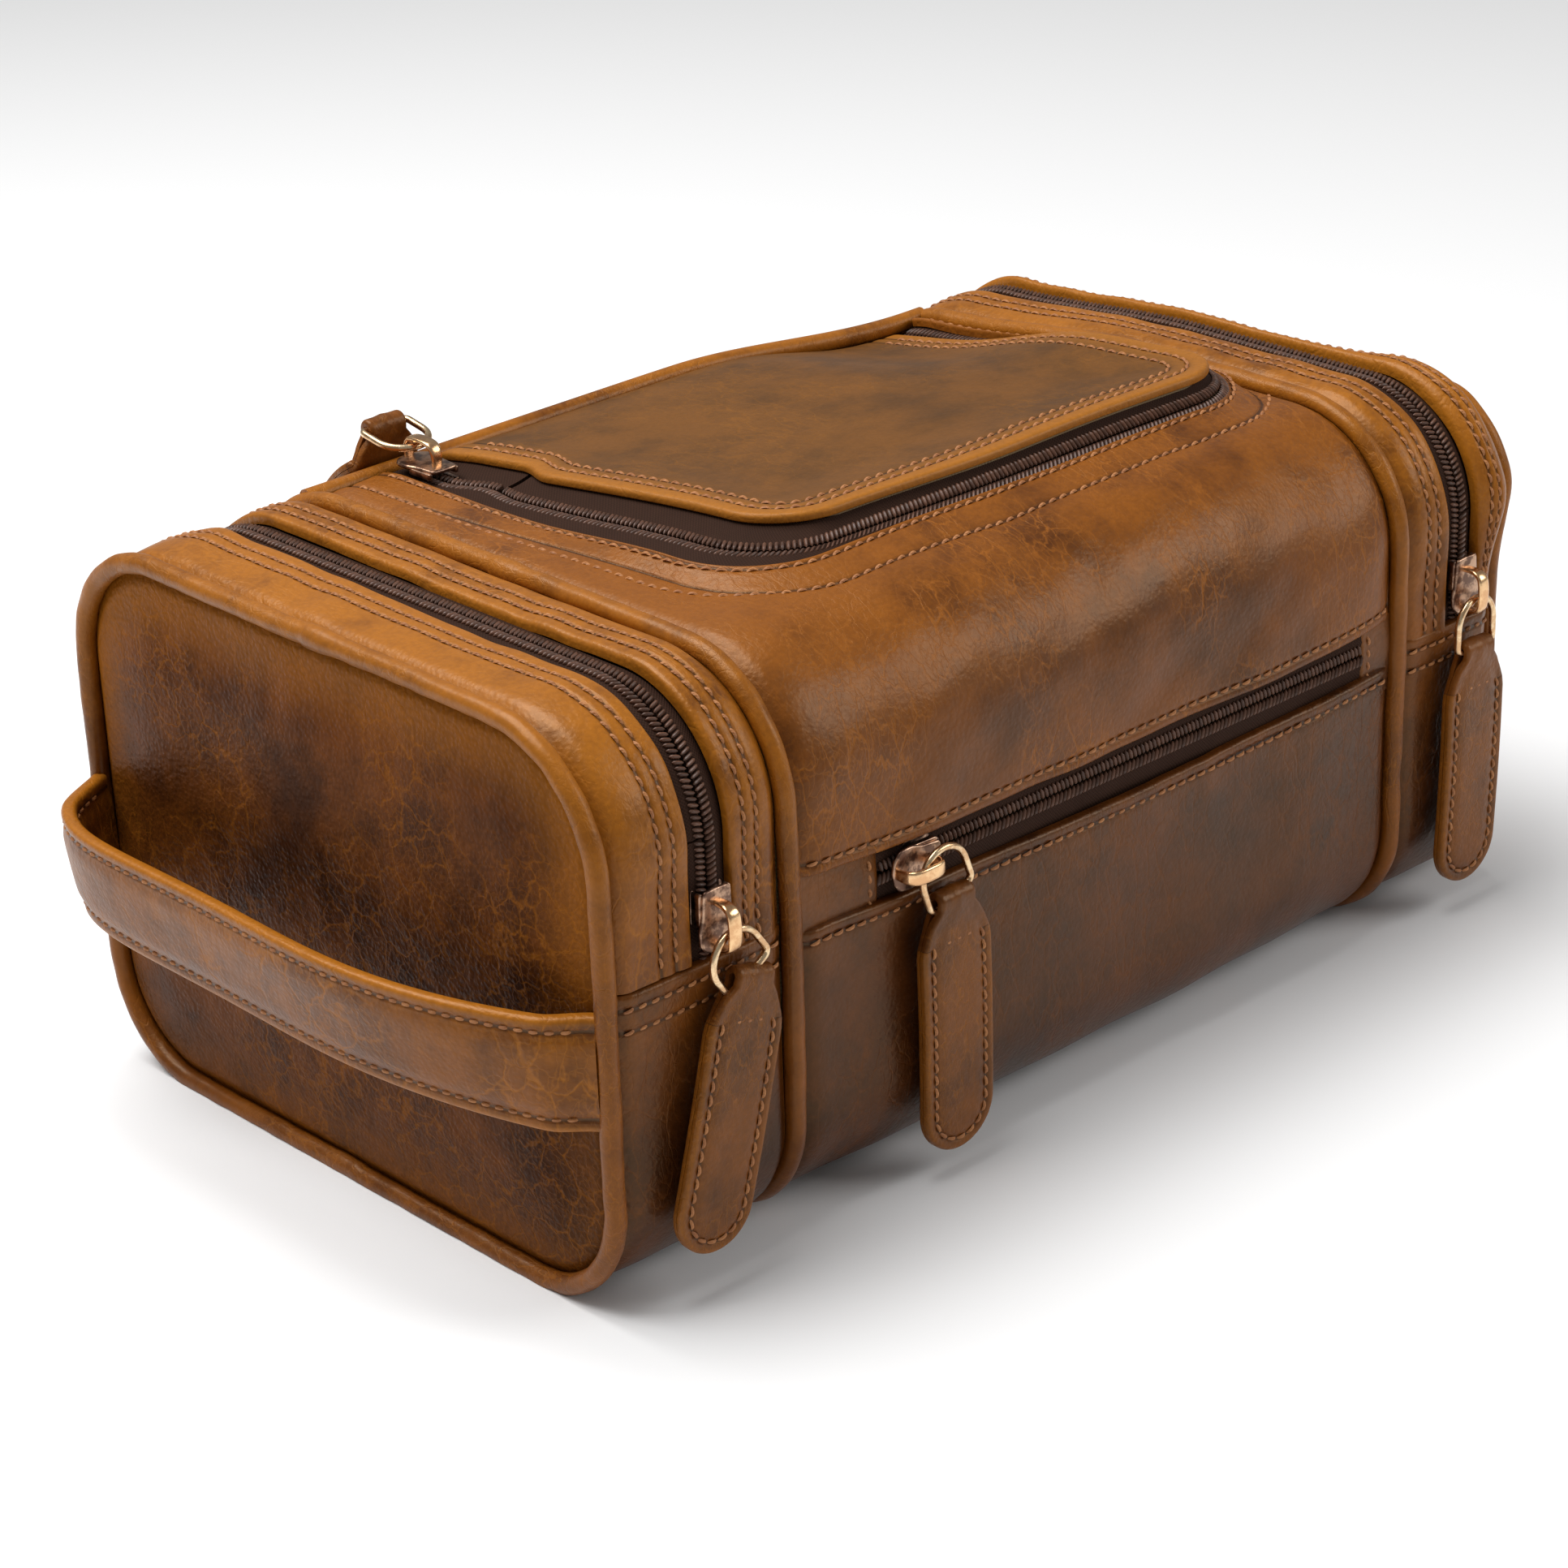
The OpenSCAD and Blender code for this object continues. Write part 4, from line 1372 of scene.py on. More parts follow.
@dataclass
class Lid:
    """The lid, its lining, and the zip that stands up round it."""

    form: Form
    centre: CentreSection
    outline: tuple[float, float, float, float] = (-60.8, 80.0, 44.5, 16.0)
    rear: float = -61.0
    rise: float = 8.6
    chain_share: float = 0.52
    slider_x: float = -66.5
    stub_y: float = 33.0
    rows: tuple[float, ...] = (4.6, 8.6)
    stitches: Build = field(default_factory=Build)

    def height(self, x: Arr, f: Arr, edge: Arr) -> Arr:
        """Top of the lid: it climbs towards the front and is dished inside its edge."""
        t = np.clip((61 + f) / 103.5, 0, 1)
        at = grid(x, f, 0.0 * f)
        z = 120.3 + self.rise * t**0.8 + 0.35 * ripple(at, 60, 4)
        z = z - 3.2 * smooth((x - 25) / 45) * smooth((12 - f) / 50)
        z = z - 1.6 * smooth((-60.5 - f) / 3.5)
        return z - (0.6 + 1.9 * t) * smooth(edge / 26) - 0.5 * smooth(1 - t * 8)

    def askew(self, x: Arr, f: Arr) -> tuple[Arr, Arr]:
        """Draws the front left corner in, and the rear left edge clear of the puller."""
        left = smooth((12 - x) / 70)
        clear = 4.1 * smooth((-24 - f) / 12)
        return x + left * (clear + 7.5 * smooth((f + 61) / 100)), f - 3.0 * left * smooth(f / 42)

    def run(self, grow: float = 0.0) -> Arr:
        """The lid's outline, grown outwards."""
        left, right, front, r = self.outline
        path = u_run(left - grow, right + grow, front + grow, self.rear, r + grow)
        return pair(*self.askew(path[:, 0], path[:, 1]))

    def panel(self) -> None:
        """Lid leather: rows from the hinge to the front whose ends follow the outline."""
        left, right, front, r = self.outline
        bend = np.linspace(0, math.pi / 2, 26)[1:]
        straight = np.linspace(self.rear, front - r, 64)
        under_piping = self.rear - np.array([3.2, 2.2, 1.2])
        f = np.concatenate([under_piping, straight, front - r + r * np.sin(bend)])
        tuck = r - np.sqrt(np.maximum(r**2 - np.clip(f - (front - r), 0, r) ** 2, 0))
        xl = left + tuck
        xr = right - tuck
        u = (1 - np.cos(math.pi * np.linspace(0, 1, 96))) / 2
        x = xl[:, None] + (xr - xl)[:, None] * u[None, :]
        f = f[:, None] + 0 * x
        mid, half = (left + right) / 2, (right - left) / 2
        edge = np.maximum(rounded_distance(x - mid, f, half, -300.0, front, r, r), 0)
        x, f = self.askew(x, f)
        z = self.height(x, f, edge) - groove(edge, self.rows, 0.25)
        top = self.form.slump.move(grid(x, -f, z - turned_edge(edge, TURN)))
        under = self.form.slump.move(grid(x, -f, z - LEATHER + 0.4 * turned_edge(edge, TURN)))
        dress(Build().slab(top, under, edge, f), "lid_panel", Finish.LID, "lid")
        shrink = grid(mid + (x - mid) * 0.975, -f * 0.985, 0 * x)
        lining = np.concatenate([shrink[..., :2], under[..., 2:] - 0.15 - 0.1], -1)
        cloth = Build().slab(lining, lining - (0, 0, 0.6), x, f)
        dress(cloth, "lid_lining", Finish.CLOTH, "lid")
        for off in self.rows:
            row = self.run(-off)
            row = row[row[:, 1] > -57]
            z = self.height(row[:, 0], row[:, 1], np.full(len(row), off)) - 0.1
            at = self.form.slump.move(grid(row[:, 0], -row[:, 1], z))
            sew(self.stitches, at, np.tile((0.0, 0.0, 1.0), (len(at), 1)))

    def wall(self) -> tuple[Arr, Arr]:
        """Borders of the zip's tapes: under the body's edge, and under the lid's edge."""
        body = self.centre.opening_run(2.5)
        low = self.form.on_skin(body[:, 0], body[:, 1], self.centre.lift(2.5, body[:, 1]) - 2.6)
        lid = self.run(-1.2)
        z = self.height(lid[:, 0], lid[:, 1], np.full(len(lid), 1.2)) - 2.5
        return low, self.form.slump.move(grid(lid[:, 0], -lid[:, 1], z))

    def zip(self) -> None:
        """Tapes and coil between the borders: straight lines with a shallow wave across them.

        The lid's tape is in two pieces. The one beside the slider stays sewn to the bag.
        """
        low, high = self.wall()
        dip = grid(0 * low[:, 0], 0 * low[:, 0], 0.5 * np.ones(len(low)))
        chain = low + (high - low) * self.chain_share
        start = np.array((self.slider_x, 0.0, chain[6, 2]))
        beside = smooth((chain[:, 1:2] - 36) / 12) * (chain[:, :1] < 0)
        drift = (start - chain) * (1, 0, 1) * beside

        def at(v: float | Arr) -> Arr:
            """Points across the tapes for shares v of the way up."""
            v = np.atleast_1d(v)[None, :, None]
            wave = dip[:, None] * np.sin(2 * math.pi * v) + drift[:, None] * np.sin(math.pi * v)
            return low[:, None] + (high - low)[:, None] * v + wave

        across = unit(high - low)
        ahead = unit(np.gradient((low + high) / 2, axis=0))
        up = unit(np.cross(across, ahead))
        up *= np.sign(up[:, 2:3] + 1e-9)
        wide = np.linalg.norm(high - low, axis=1)[:, None]
        run = np.concatenate([[0], np.cumsum(np.linalg.norm(np.diff(low, axis=0), axis=1))])
        mid = self.chain_share
        upper = np.linspace(mid + 0.03, 1, 10)
        cut = int(np.searchsorted(-low[:60, 1], -self.stub_y))
        halves = (
            ("lid_zip_body_half", "bag", None, np.linspace(0, mid - 0.03, 8), slice(None), 6),
            ("lid_zip_stub", "bag", (), upper, slice(0, cut), 6),
            ("lid_zip_half", "lid", None, upper, slice(cut, None), cut),
        )
        for name, body, nodes, v, part, first in halves:
            top, under = ((at(v) + side * 0.35 * up[:, None])[part] for side in (1, -1))
            cross = (wide * v[None, :])[part]
            tape = Build().slab(top, under, cross, run[part, None] + 0 * cross)
            sign = 1 if name == "lid_zip_body_half" else -1
            row = at(mid)[:, 0] - sign * COIL_OFF * across + 0.35 * up
            part = slice(first, part.stop)
            coil = coil_row(Build(), row[part], (sign * across)[part], up[part], 0.25 - 0.25 * sign)
            dress(tape, name, Finish.TAPE, body, nodes)
            dress(coil, name + "_coil", Finish.COIL, body, ())

    def make(self) -> None:
        """Makes the lid."""
        self.panel()
        self.zip()
        dress(self.stitches, "lid_stitches", Finish.THREAD, "lid", ())


# ---- front pocket ------------------------------------------------------------------


@dataclass
class FrontPocket:
    """Zip and tabs in the slot across the front."""

    form: Form
    centre: CentreSection
    chain_z: float = 70.0
    reach: float = 12.5
    stitches: Build = field(default_factory=Build)

    def halves(self) -> None:
        """Two straight tapes that pass under the leather, each with its row of coil."""
        form, skin = self.form, self.form.section
        left, right = (corner[0] for corner in box_mm("pocket_zip_upper_half"))
        for name, sign in (("upper", 1), ("lower", -1)):
            x = np.linspace(left - 3, right + 3, 150)[:, None]
            d = np.linspace(0.55, self.reach, 12)[None, :]
            s = skin.at_height(self.chain_z) - sign * d
            weave = 0.22 * np.cos(d * 2.2) * np.exp(-d / 6)
            out = form.zip_out - 0.25 - 2.1 * smooth((d - 4) / 7) + weave + 0 * x
            node = f"pocket_zip_{name}_half"
            dress(form.sheet(x, s, out, out - TAPE, d, x), node, Finish.TAPE)
            x = np.linspace(left, right, 100)
            s = np.full(100, skin.at_height(self.chain_z) - sign * COIL_OFF)
            side = np.tile((0.0, 0.0, -float(sign)), (100, 1))
            coil = coil_row(
                Build(), form.on_skin(x, s, form.zip_out + 0 * x), side, form.skin_out(x, s),
                0.5 * (sign > 0)
            )
            dress(coil, node + "_coil", Finish.COIL, nodes=())

    def tabs(self) -> None:
        """Leather tabs that close the slot's ends: flat rectangles with a stitched inner edge."""
        form, skin = self.form, self.form.section
        left, right = (corner[0] for corner in box_mm("pocket_zip_upper_half"))
        build = Build()
        for a, b in ((-form.panel_x, left - 0.1), (form.panel_x, right + 0.1)):
            x = b + (a - b) * (1 - np.cos(math.pi * np.linspace(0, 1, 24)))[:, None] / 2
            z = np.linspace(59.0, 77.0, 26)[None, :]
            edge = np.abs(x - b) + 0 * z
            out = -0.75 - 0.5 * smooth(np.abs(z - 69) / 10) + 0 * x
            s = skin.at_height(0) - z + 0 * x
            build.slab(
                form.on_skin(x, s, out - turned_edge(edge, 0.9)), form.on_skin(x, s, out - 1.6),
                edge, z + 0 * x
            )
            z = np.linspace(62.5, 74.0, 30)
            x = np.full(30, b + np.sign(a) * 2.4)
            s = skin.at_height(0) - z
            sew(self.stitches, form.on_skin(x, s, -0.85 + 0 * x), form.skin_out(x, s))
        dress(build, "pocket_zip_tabs", Finish.POCKET)

    def make(self) -> None:
        """Makes the pocket's zip and tabs."""
        self.halves()
        self.tabs()
        dress(self.stitches, "pocket_stitches", Finish.THREAD, nodes=())


# ---- end compartments ----------------------------------------------------------------


@dataclass
class EndCompartment:
    """One end: gussets beside the zip, the end panel, its piping and its lining."""

    form: Form
    side: Side
    stub_top: float = 93.3
    inner_rows: tuple[float, ...] = (3.5, 6.7)
    flap_rows: tuple[float, ...] = (4.0, 7.6)
    hem_rows: tuple[float, ...] = (3.2, 7.8)
    bag_stitches: Build = field(default_factory=Build)
    flap_stitches: Build = field(default_factory=Build)

    @property
    def flap(self) -> str:
        """The body that folds open."""
        return f"{self.side.word}_flap"

    @property
    def fold(self) -> tuple:
        """The bag, the flap and two points beside the fold, handed to dress as bend."""
        x = self.side.value * self.form.end_x
        return ("bag", self.flap, (x, 0, self.form.fold_z - 7), (x, 0, self.form.fold_z + 7))

    def band_relief(
        self, x: Arr, s: Arr, edge: Arr, side: Arr, rows: tuple[float, ...], puff: float
    ) -> Arr:
        """How far a gusset stands out: half a sine, a ripple, a lip at the zip and a valley."""
        at = grid(x, s, 0.0 * s)
        seed = self.side.value
        wave = 0.16 * ripple(at, 16, 6 + seed) + 0.3 * ripple(at, 60, 30 + seed)
        whole = edge + side
        to_fold = self.form.section.at_height(self.form.fold_z) - np.abs(s)
        puff = puff * (0.25 + 0.75 * smooth((to_fold - 6) / 24))
        out = puff * np.sin(math.pi * np.clip(side / whole, 0, 1)) ** 0.8 + wave * smooth(side / 6)
        return out + 0.7 * np.exp(-edge / 3.5) - valley(side, 1.8) - groove(edge, rows, 0.34)

    def gusset(
        self, near: float, far: float, rows: tuple[float, ...], low: float, puff: float, name: str,
        finish: Finish, body: str, stitches: Build
    ) -> None:
        """A strip over the arch between the zip and a piping.

        Args:
            near: distance from the middle of the bag to the edge beside the zip.
            far: the same for the edge at the piping.
            rows: sewn rows from the zip's edge.
            low: height where the strip ends at the front and the rear.
            puff: bulge across the strip.
            name: the piece and CAD node.
            finish: its leather.
            body: what it rides on.
            stitches: where its stitches go.
        """
        form, sign = self.form, self.side.value
        end = form.section.at_height(low)
        d = edge_lines(0, abs(far - near), 0.7)[:, None]
        away = 1.0 if far > near else -1.0
        s = np.linspace(-end, end, 190)[None, :]
        x = sign * (near + away * d)
        edge, side = d + 0 * s, abs(far - near) - d + 0 * s
        out = self.band_relief(x, s, edge, side, rows, puff)
        strip = form.sheet(
            x, s, out - turned_edge(edge, TURN), np.minimum(out, 0.8) - LEATHER, edge, s
        )
        dress(strip, name, finish, body)
        for row in rows:
            s = np.linspace(-end + 1.5, end - 1.5, 400)
            x = np.full(400, sign * (near + away * row))
            e = np.full(400, row)
            lift = self.band_relief(x, s, e, abs(far - near) - e, (), puff) - 0.16
            sew(stitches, form.on_skin(x, s, lift), form.skin_out(x, s))

    def lower(self) -> None:
        """Lower gusset: one strip down the front, under the bag and up the back."""
        form, skin, sign = self.form, self.form.section, self.side.value
        near, far = form.inner_x + SEAM, form.outer_x - SEAM
        x = sign * edge_lines(near, far, 1.5)[:, None]
        start = skin.at_height(form.fold_z)
        length = 2 * (skin.marks[4] - start)
        q = edge_lines(0, length, 2.2)[None, :]
        hem = np.minimum(q, length - q) + 0 * x
        side = np.minimum(np.abs(x) - near, far - np.abs(x)) + 0 * q
        at = grid(x, q, 0.0 * q)
        out = 0.5 * smooth(side / 12) + 0.2 * ripple(at, 32, 40 + sign) * smooth(side / 6)
        out += 0.5 * np.exp(-hem / 7)
        out += -valley(side, 1.8) - groove(hem, self.hem_rows)
        s = start + q
        strip = form.sheet(
            x, s, out - turned_edge(hem, TURN), np.minimum(out, 0.6) - LEATHER, side, x, hem
        )
        dress(strip, f"{self.side.word}_lower_gusset", Finish.LOWER)
        for row in self.hem_rows:
            for s_row in (start + row, start + length - row):
                xs = np.linspace(near + 1.2, far - 1.2, 60) * sign
                ss = np.full(60, s_row)
                border = np.minimum(np.abs(xs) - near, far - np.abs(xs))
                lift = 0.5 * smooth(border / 12) + 0.5 * math.exp(-row / 7) - 0.15
                sew(self.bag_stitches, form.on_skin(xs, ss, lift), form.skin_out(xs, ss))

    def zip_half(
        self, outer: bool, s0: float, s1: float, name: str, body: str, nodes: tuple | None
    ) -> None:
        """One tape and its coil over part of the arch.

        Args:
            outer: whether it is the half beside the end panel.
            s0: where it starts round the section.
            s1: where it ends.
            name: the piece's name.
            body: what it rides on.
            nodes: CAD nodes that the tape replaces; the node of its own name if None.
        """
        form, sign = self.form, self.side.value
        away = 1.0 if outer else -1.0
        s = np.linspace(s0, s1, max(8, round((s1 - s0) / 1.6)))[None, :]
        d = np.linspace(0.5, 7.2, 9)[:, None]
        weave = 0.2 * np.cos(d * 2.4) * np.exp(-d / 5)
        out = form.zip_out - 0.25 - 1.5 * smooth((d - 3.6) / 3) + weave + 0 * s
        x = sign * (form.zip_x + away * d)
        dress(form.sheet(x, s, out, out - TAPE, d, s), name, Finish.TAPE, body, nodes)
        s = s[0]
        x = np.full(len(s), sign * (form.zip_x + away * COIL_OFF))
        side = np.tile((-sign * away, 0.0, 0.0), (len(s), 1))
        coil = coil_row(
            Build(), form.on_skin(x, s, form.zip_out + 0 * x), side, form.skin_out(x, s),
            0.5 * outer
        )
        dress(coil, name + "_coil", Finish.COIL, body, ())

    def zips(self) -> None:
        """The zip's fixed half, the short outer stretch beside the slider, and the flap's half."""
        skin, word = self.form.section, self.side.word
        end, stub = skin.at_height(self.form.fold_z - 2.0), skin.at_height(self.stub_top)
        flap_end = skin.at_height(self.form.fold_z + 0.3)
        self.zip_half(False, -end, end, f"{word}_zip_fixed_half", "bag", None)
        self.zip_half(True, stub, end, f"{word}_zip_stub", "bag", ())
        self.zip_half(True, -flap_end, stub - 0.4, f"{word}_flap_zip_half", self.flap, None)

    def end_panel(self) -> None:
        """End panel: a pillow of leather inside the piping."""
        form, sign = self.form, self.side.value
        y, z, edge = end_disc(form, 1.7, 110, 120)
        at = grid(0 * y, y, z)
        bulge = 2.4 * smooth(edge / 24) + 1.5 * smooth(edge / 4)
        bulge += 0.5 * ripple(at, 48, 50 + sign) * smooth(edge / 14)
        x = form.end_x - 3.9 + bulge + 0.06 * ripple(at, 12, 51) * smooth(edge / 8)
        top = form.slump.move(grid(sign * x, y, z))
        under = form.slump.move(grid(sign * (x - LEATHER), y, z))
        word = self.side.word
        nodes = (f"{word}_end_panel_lower", f"{word}_flap_panel")
        panel = Build().slab(top, under, edge, z)
        dress(panel, f"{word}_end_panel", Finish.END, nodes=nodes, bend=self.fold)

    def outer_piping(self) -> None:
        """Piping round the end panel."""
        word, sign = self.side.word, self.side.value
        out = -0.8 if self.side is Side.LEFT else -2.6
        ring = piping_ring(self.form, sign * self.form.outer_x, 15 + sign, out)
        nodes = (f"{word}_outer_piping_lower", f"{word}_flap_piping")
        dress(ring, f"{word}_outer_piping", Finish.PIPING, nodes=nodes, bend=self.fold)

    def lining(self) -> None:
        """Cloth tray in the lower half of the end: a strip just inside the gusset."""
        form, skin, sign = self.form, self.form.section, self.side.value
        x = sign * edge_lines(form.inner_x + 2.4, form.outer_x - 2.5, 3.0)[:, None]
        start = skin.at_height(form.fold_z - 3)
        s = np.linspace(start, 2 * skin.marks[4] - start, 90)[None, :]
        out = -3.2 - 0.2 * (1 + ripple(grid(x, s, 0.0 * s), 24, 33))
        tray = form.sheet(x, s, out, out - CLOTH, x, s)
        dress(tray, f"{self.side.word}_lining", Finish.CLOTH)

    def make(self) -> None:
        """Makes the end compartment."""
        form, word = self.form, self.side.word
        near, far = form.zip_x - form.zip_half, form.zip_x + form.zip_half
        low = form.fold_z - 1.5
        self.gusset(
            near, form.inner_x + SEAM, self.inner_rows, low, 0.8, f"{word}_inner_gusset",
            Finish.GUSSET, "bag", self.bag_stitches
        )
        puff = 1.2 if self.side is Side.LEFT else 3.8
        self.gusset(
            far, form.outer_x - SEAM, self.flap_rows, form.fold_z + 0.3, puff,
            f"{word}_flap_gusset", Finish.FLAP, self.flap, self.flap_stitches
        )
        self.lower()
        self.zips()
        self.end_panel()
        self.outer_piping()
        self.lining()
        for kind, stitches, body in (
            ("gusset", self.bag_stitches, "bag"), ("flap", self.flap_stitches, self.flap)
        ):
            dress(stitches, f"{word}_{kind}_stitches", Finish.THREAD, body, ())


# ---- carrying strap ---------------------------------------------------------------------


@dataclass
class CarryStrap:
    """Two-ply strap across the left end, bowed out between its sewn ends."""

    form: Form
    half_len: float = 79.2
    half_wide: float = 12.4
    mid_z: float = 54.0
    bow: float = 14.6
    lean: float = 2.2
    row: float = 3.0

    def path(self) -> tuple[Arr, Arr, Arr]:
        """Middle line: the bow times one less a power of the distance along, steeper at the rear.

        Returns:
            Points, outward directions and the share of the bow at each.
        """
        y = np.linspace(-1, 1, 600)
        share = 1 - np.where(y < 0, np.abs(y) ** 2.8, np.abs(y) ** 8)
        tuck = 3.6 * smooth((np.abs(y) - 0.90) / 0.1)
        x = -(self.form.end_x + 2.2 - tuck + self.bow * share)
        at, _ = resample(grid(x, y * self.half_len, share), 1.4)
        ahead = unit(np.gradient(at[:, :2], axis=0))
        normal = grid(-ahead[:, 1], ahead[:, 0], 0 * ahead[:, 0])
        normal *= np.sign(-normal[:, :1] + 1e-9)
        return grid(at[:, 0], at[:, 1], np.full(len(at), self.mid_z)), normal, at[:, 2]

    def face(self, u: Arr) -> Arr:
        """Half thickness across the strap: full, pinched at the sewn rows, round at the edges."""
        edge = self.half_wide - np.abs(u)
        full = 1.75 + 0.55 * smooth((edge - self.row) / 4)
        full = full - 0.4 * np.exp(-(((edge - self.row) / 1.3) ** 2))
        return full - turned_edge(np.maximum(edge, 0), 1.5) * full / 1.75 * 0.98

    def make(self) -> None:
        """Makes the strap and its stitches."""
        centre, normal, share = self.path()
        u = self.half_wide * np.sin(np.linspace(-math.pi / 2, math.pi / 2, 25))
        round_u = np.concatenate([u, u[-2:0:-1]])
        thick = np.concatenate([self.face(u), -self.face(u[-2:0:-1])])
        wave = 0.35 * ripple(grid(0.0, centre[:, 1:2], round_u[None]), 34, 77)
        lean = -(share * self.lean)[:, None] * round_u / self.half_wide
        lift = (thick[None] + wave)[..., None] * normal[:, None]
        rings = centre[:, None] + lift
        rings[..., 0] += lean
        rings[..., 2] += round_u
        edge = np.broadcast_to(self.half_wide - np.abs(round_u), rings.shape[:2])
        run = np.arange(len(centre)) * 1.4
        start, end = (-self.form.end_x, 0, self.mid_z), (-self.form.end_x - 10, 0, self.mid_z)
        bend = ("bag", "handle", start, end)
        strap = Build().tube(rings, edge, run)
        dress(strap, "handle_strap", Finish.STRAP, bend=bend, sharp=60)
        build = Build()
        for face in (1, -1):
            for sign in (1, -1):
                place = sign * (self.half_wide - self.row)
                at = centre + face * (self.face(np.array([place]))[0] + 0.02) * normal
                at = at + 0.35 * ripple(
                    grid(0 * at[:, 0], at[:, 1], 0 * at[:, 0] + place), 34, 77
                )[:, None] * normal
                at[:, 0] -= share * self.lean * place / self.half_wide
                at[:, 2] += place
                sew(build, at[3:-3], (face * normal)[3:-3], 4.0)
        dress(build, "strap_stitches", Finish.THREAD, nodes=(), bend=bend)


# ---- zip pulls ------------------------------------------------------------------------------


def swept(path: Arr, side: Arr, up: Arr, shape: Arr) -> Arr:
    """Rings along a path: each shape point goes out along the side and up directions."""
    return path[:, None] + shape[..., :1] * side[:, None] + shape[..., 1:] * up[:, None]


def circle(count: int, r: float = 1.0) -> Arr:
    """Points of a circle."""
    a = np.linspace(0, 2 * math.pi, count + 1)[:-1]
    return r * pair(np.cos(a), np.sin(a))


def plate(build: Build, outline: Arr, low: float, high: float, bevel: float) -> Build:
    """Flat plate with rounded rims.

    Args:
        build: where it goes.
        outline: corners in X and Y; they are rounded by running a short moving average over them.
        low: underside.
        high: upper side.
        bevel: size of the rounded rim.

    Returns:
        The build.
    """
    path, _ = resample(np.hstack([outline, np.zeros((len(outline), 1))]), 0.35, closed=True)
    kernel = [np.roll(path, k, axis=0) for k in range(-2, 3)]
    path = sum(kernel) / 5
    ahead = unit(np.roll(path, -1, axis=0) - np.roll(path, 1, axis=0))
    inward = grid(-ahead[:, 1], ahead[:, 0], 0 * ahead[:, 0])
    inward *= np.sign(np.sum(inward * (path.mean(0) - path)))
    rings = []
    for t in np.linspace(0, math.pi / 2, 4):
        rise = low + bevel * (1 - math.cos(t))
        rings.append(path + inward * bevel * (1 - math.sin(t)) + (0, 0, rise))
    for ring in rings[::-1]:
        rings.append(ring * (1, 1, 0) + (0, 0, 1) * (high + low - ring[:, 2:]))
    return build.tube(np.array(rings))


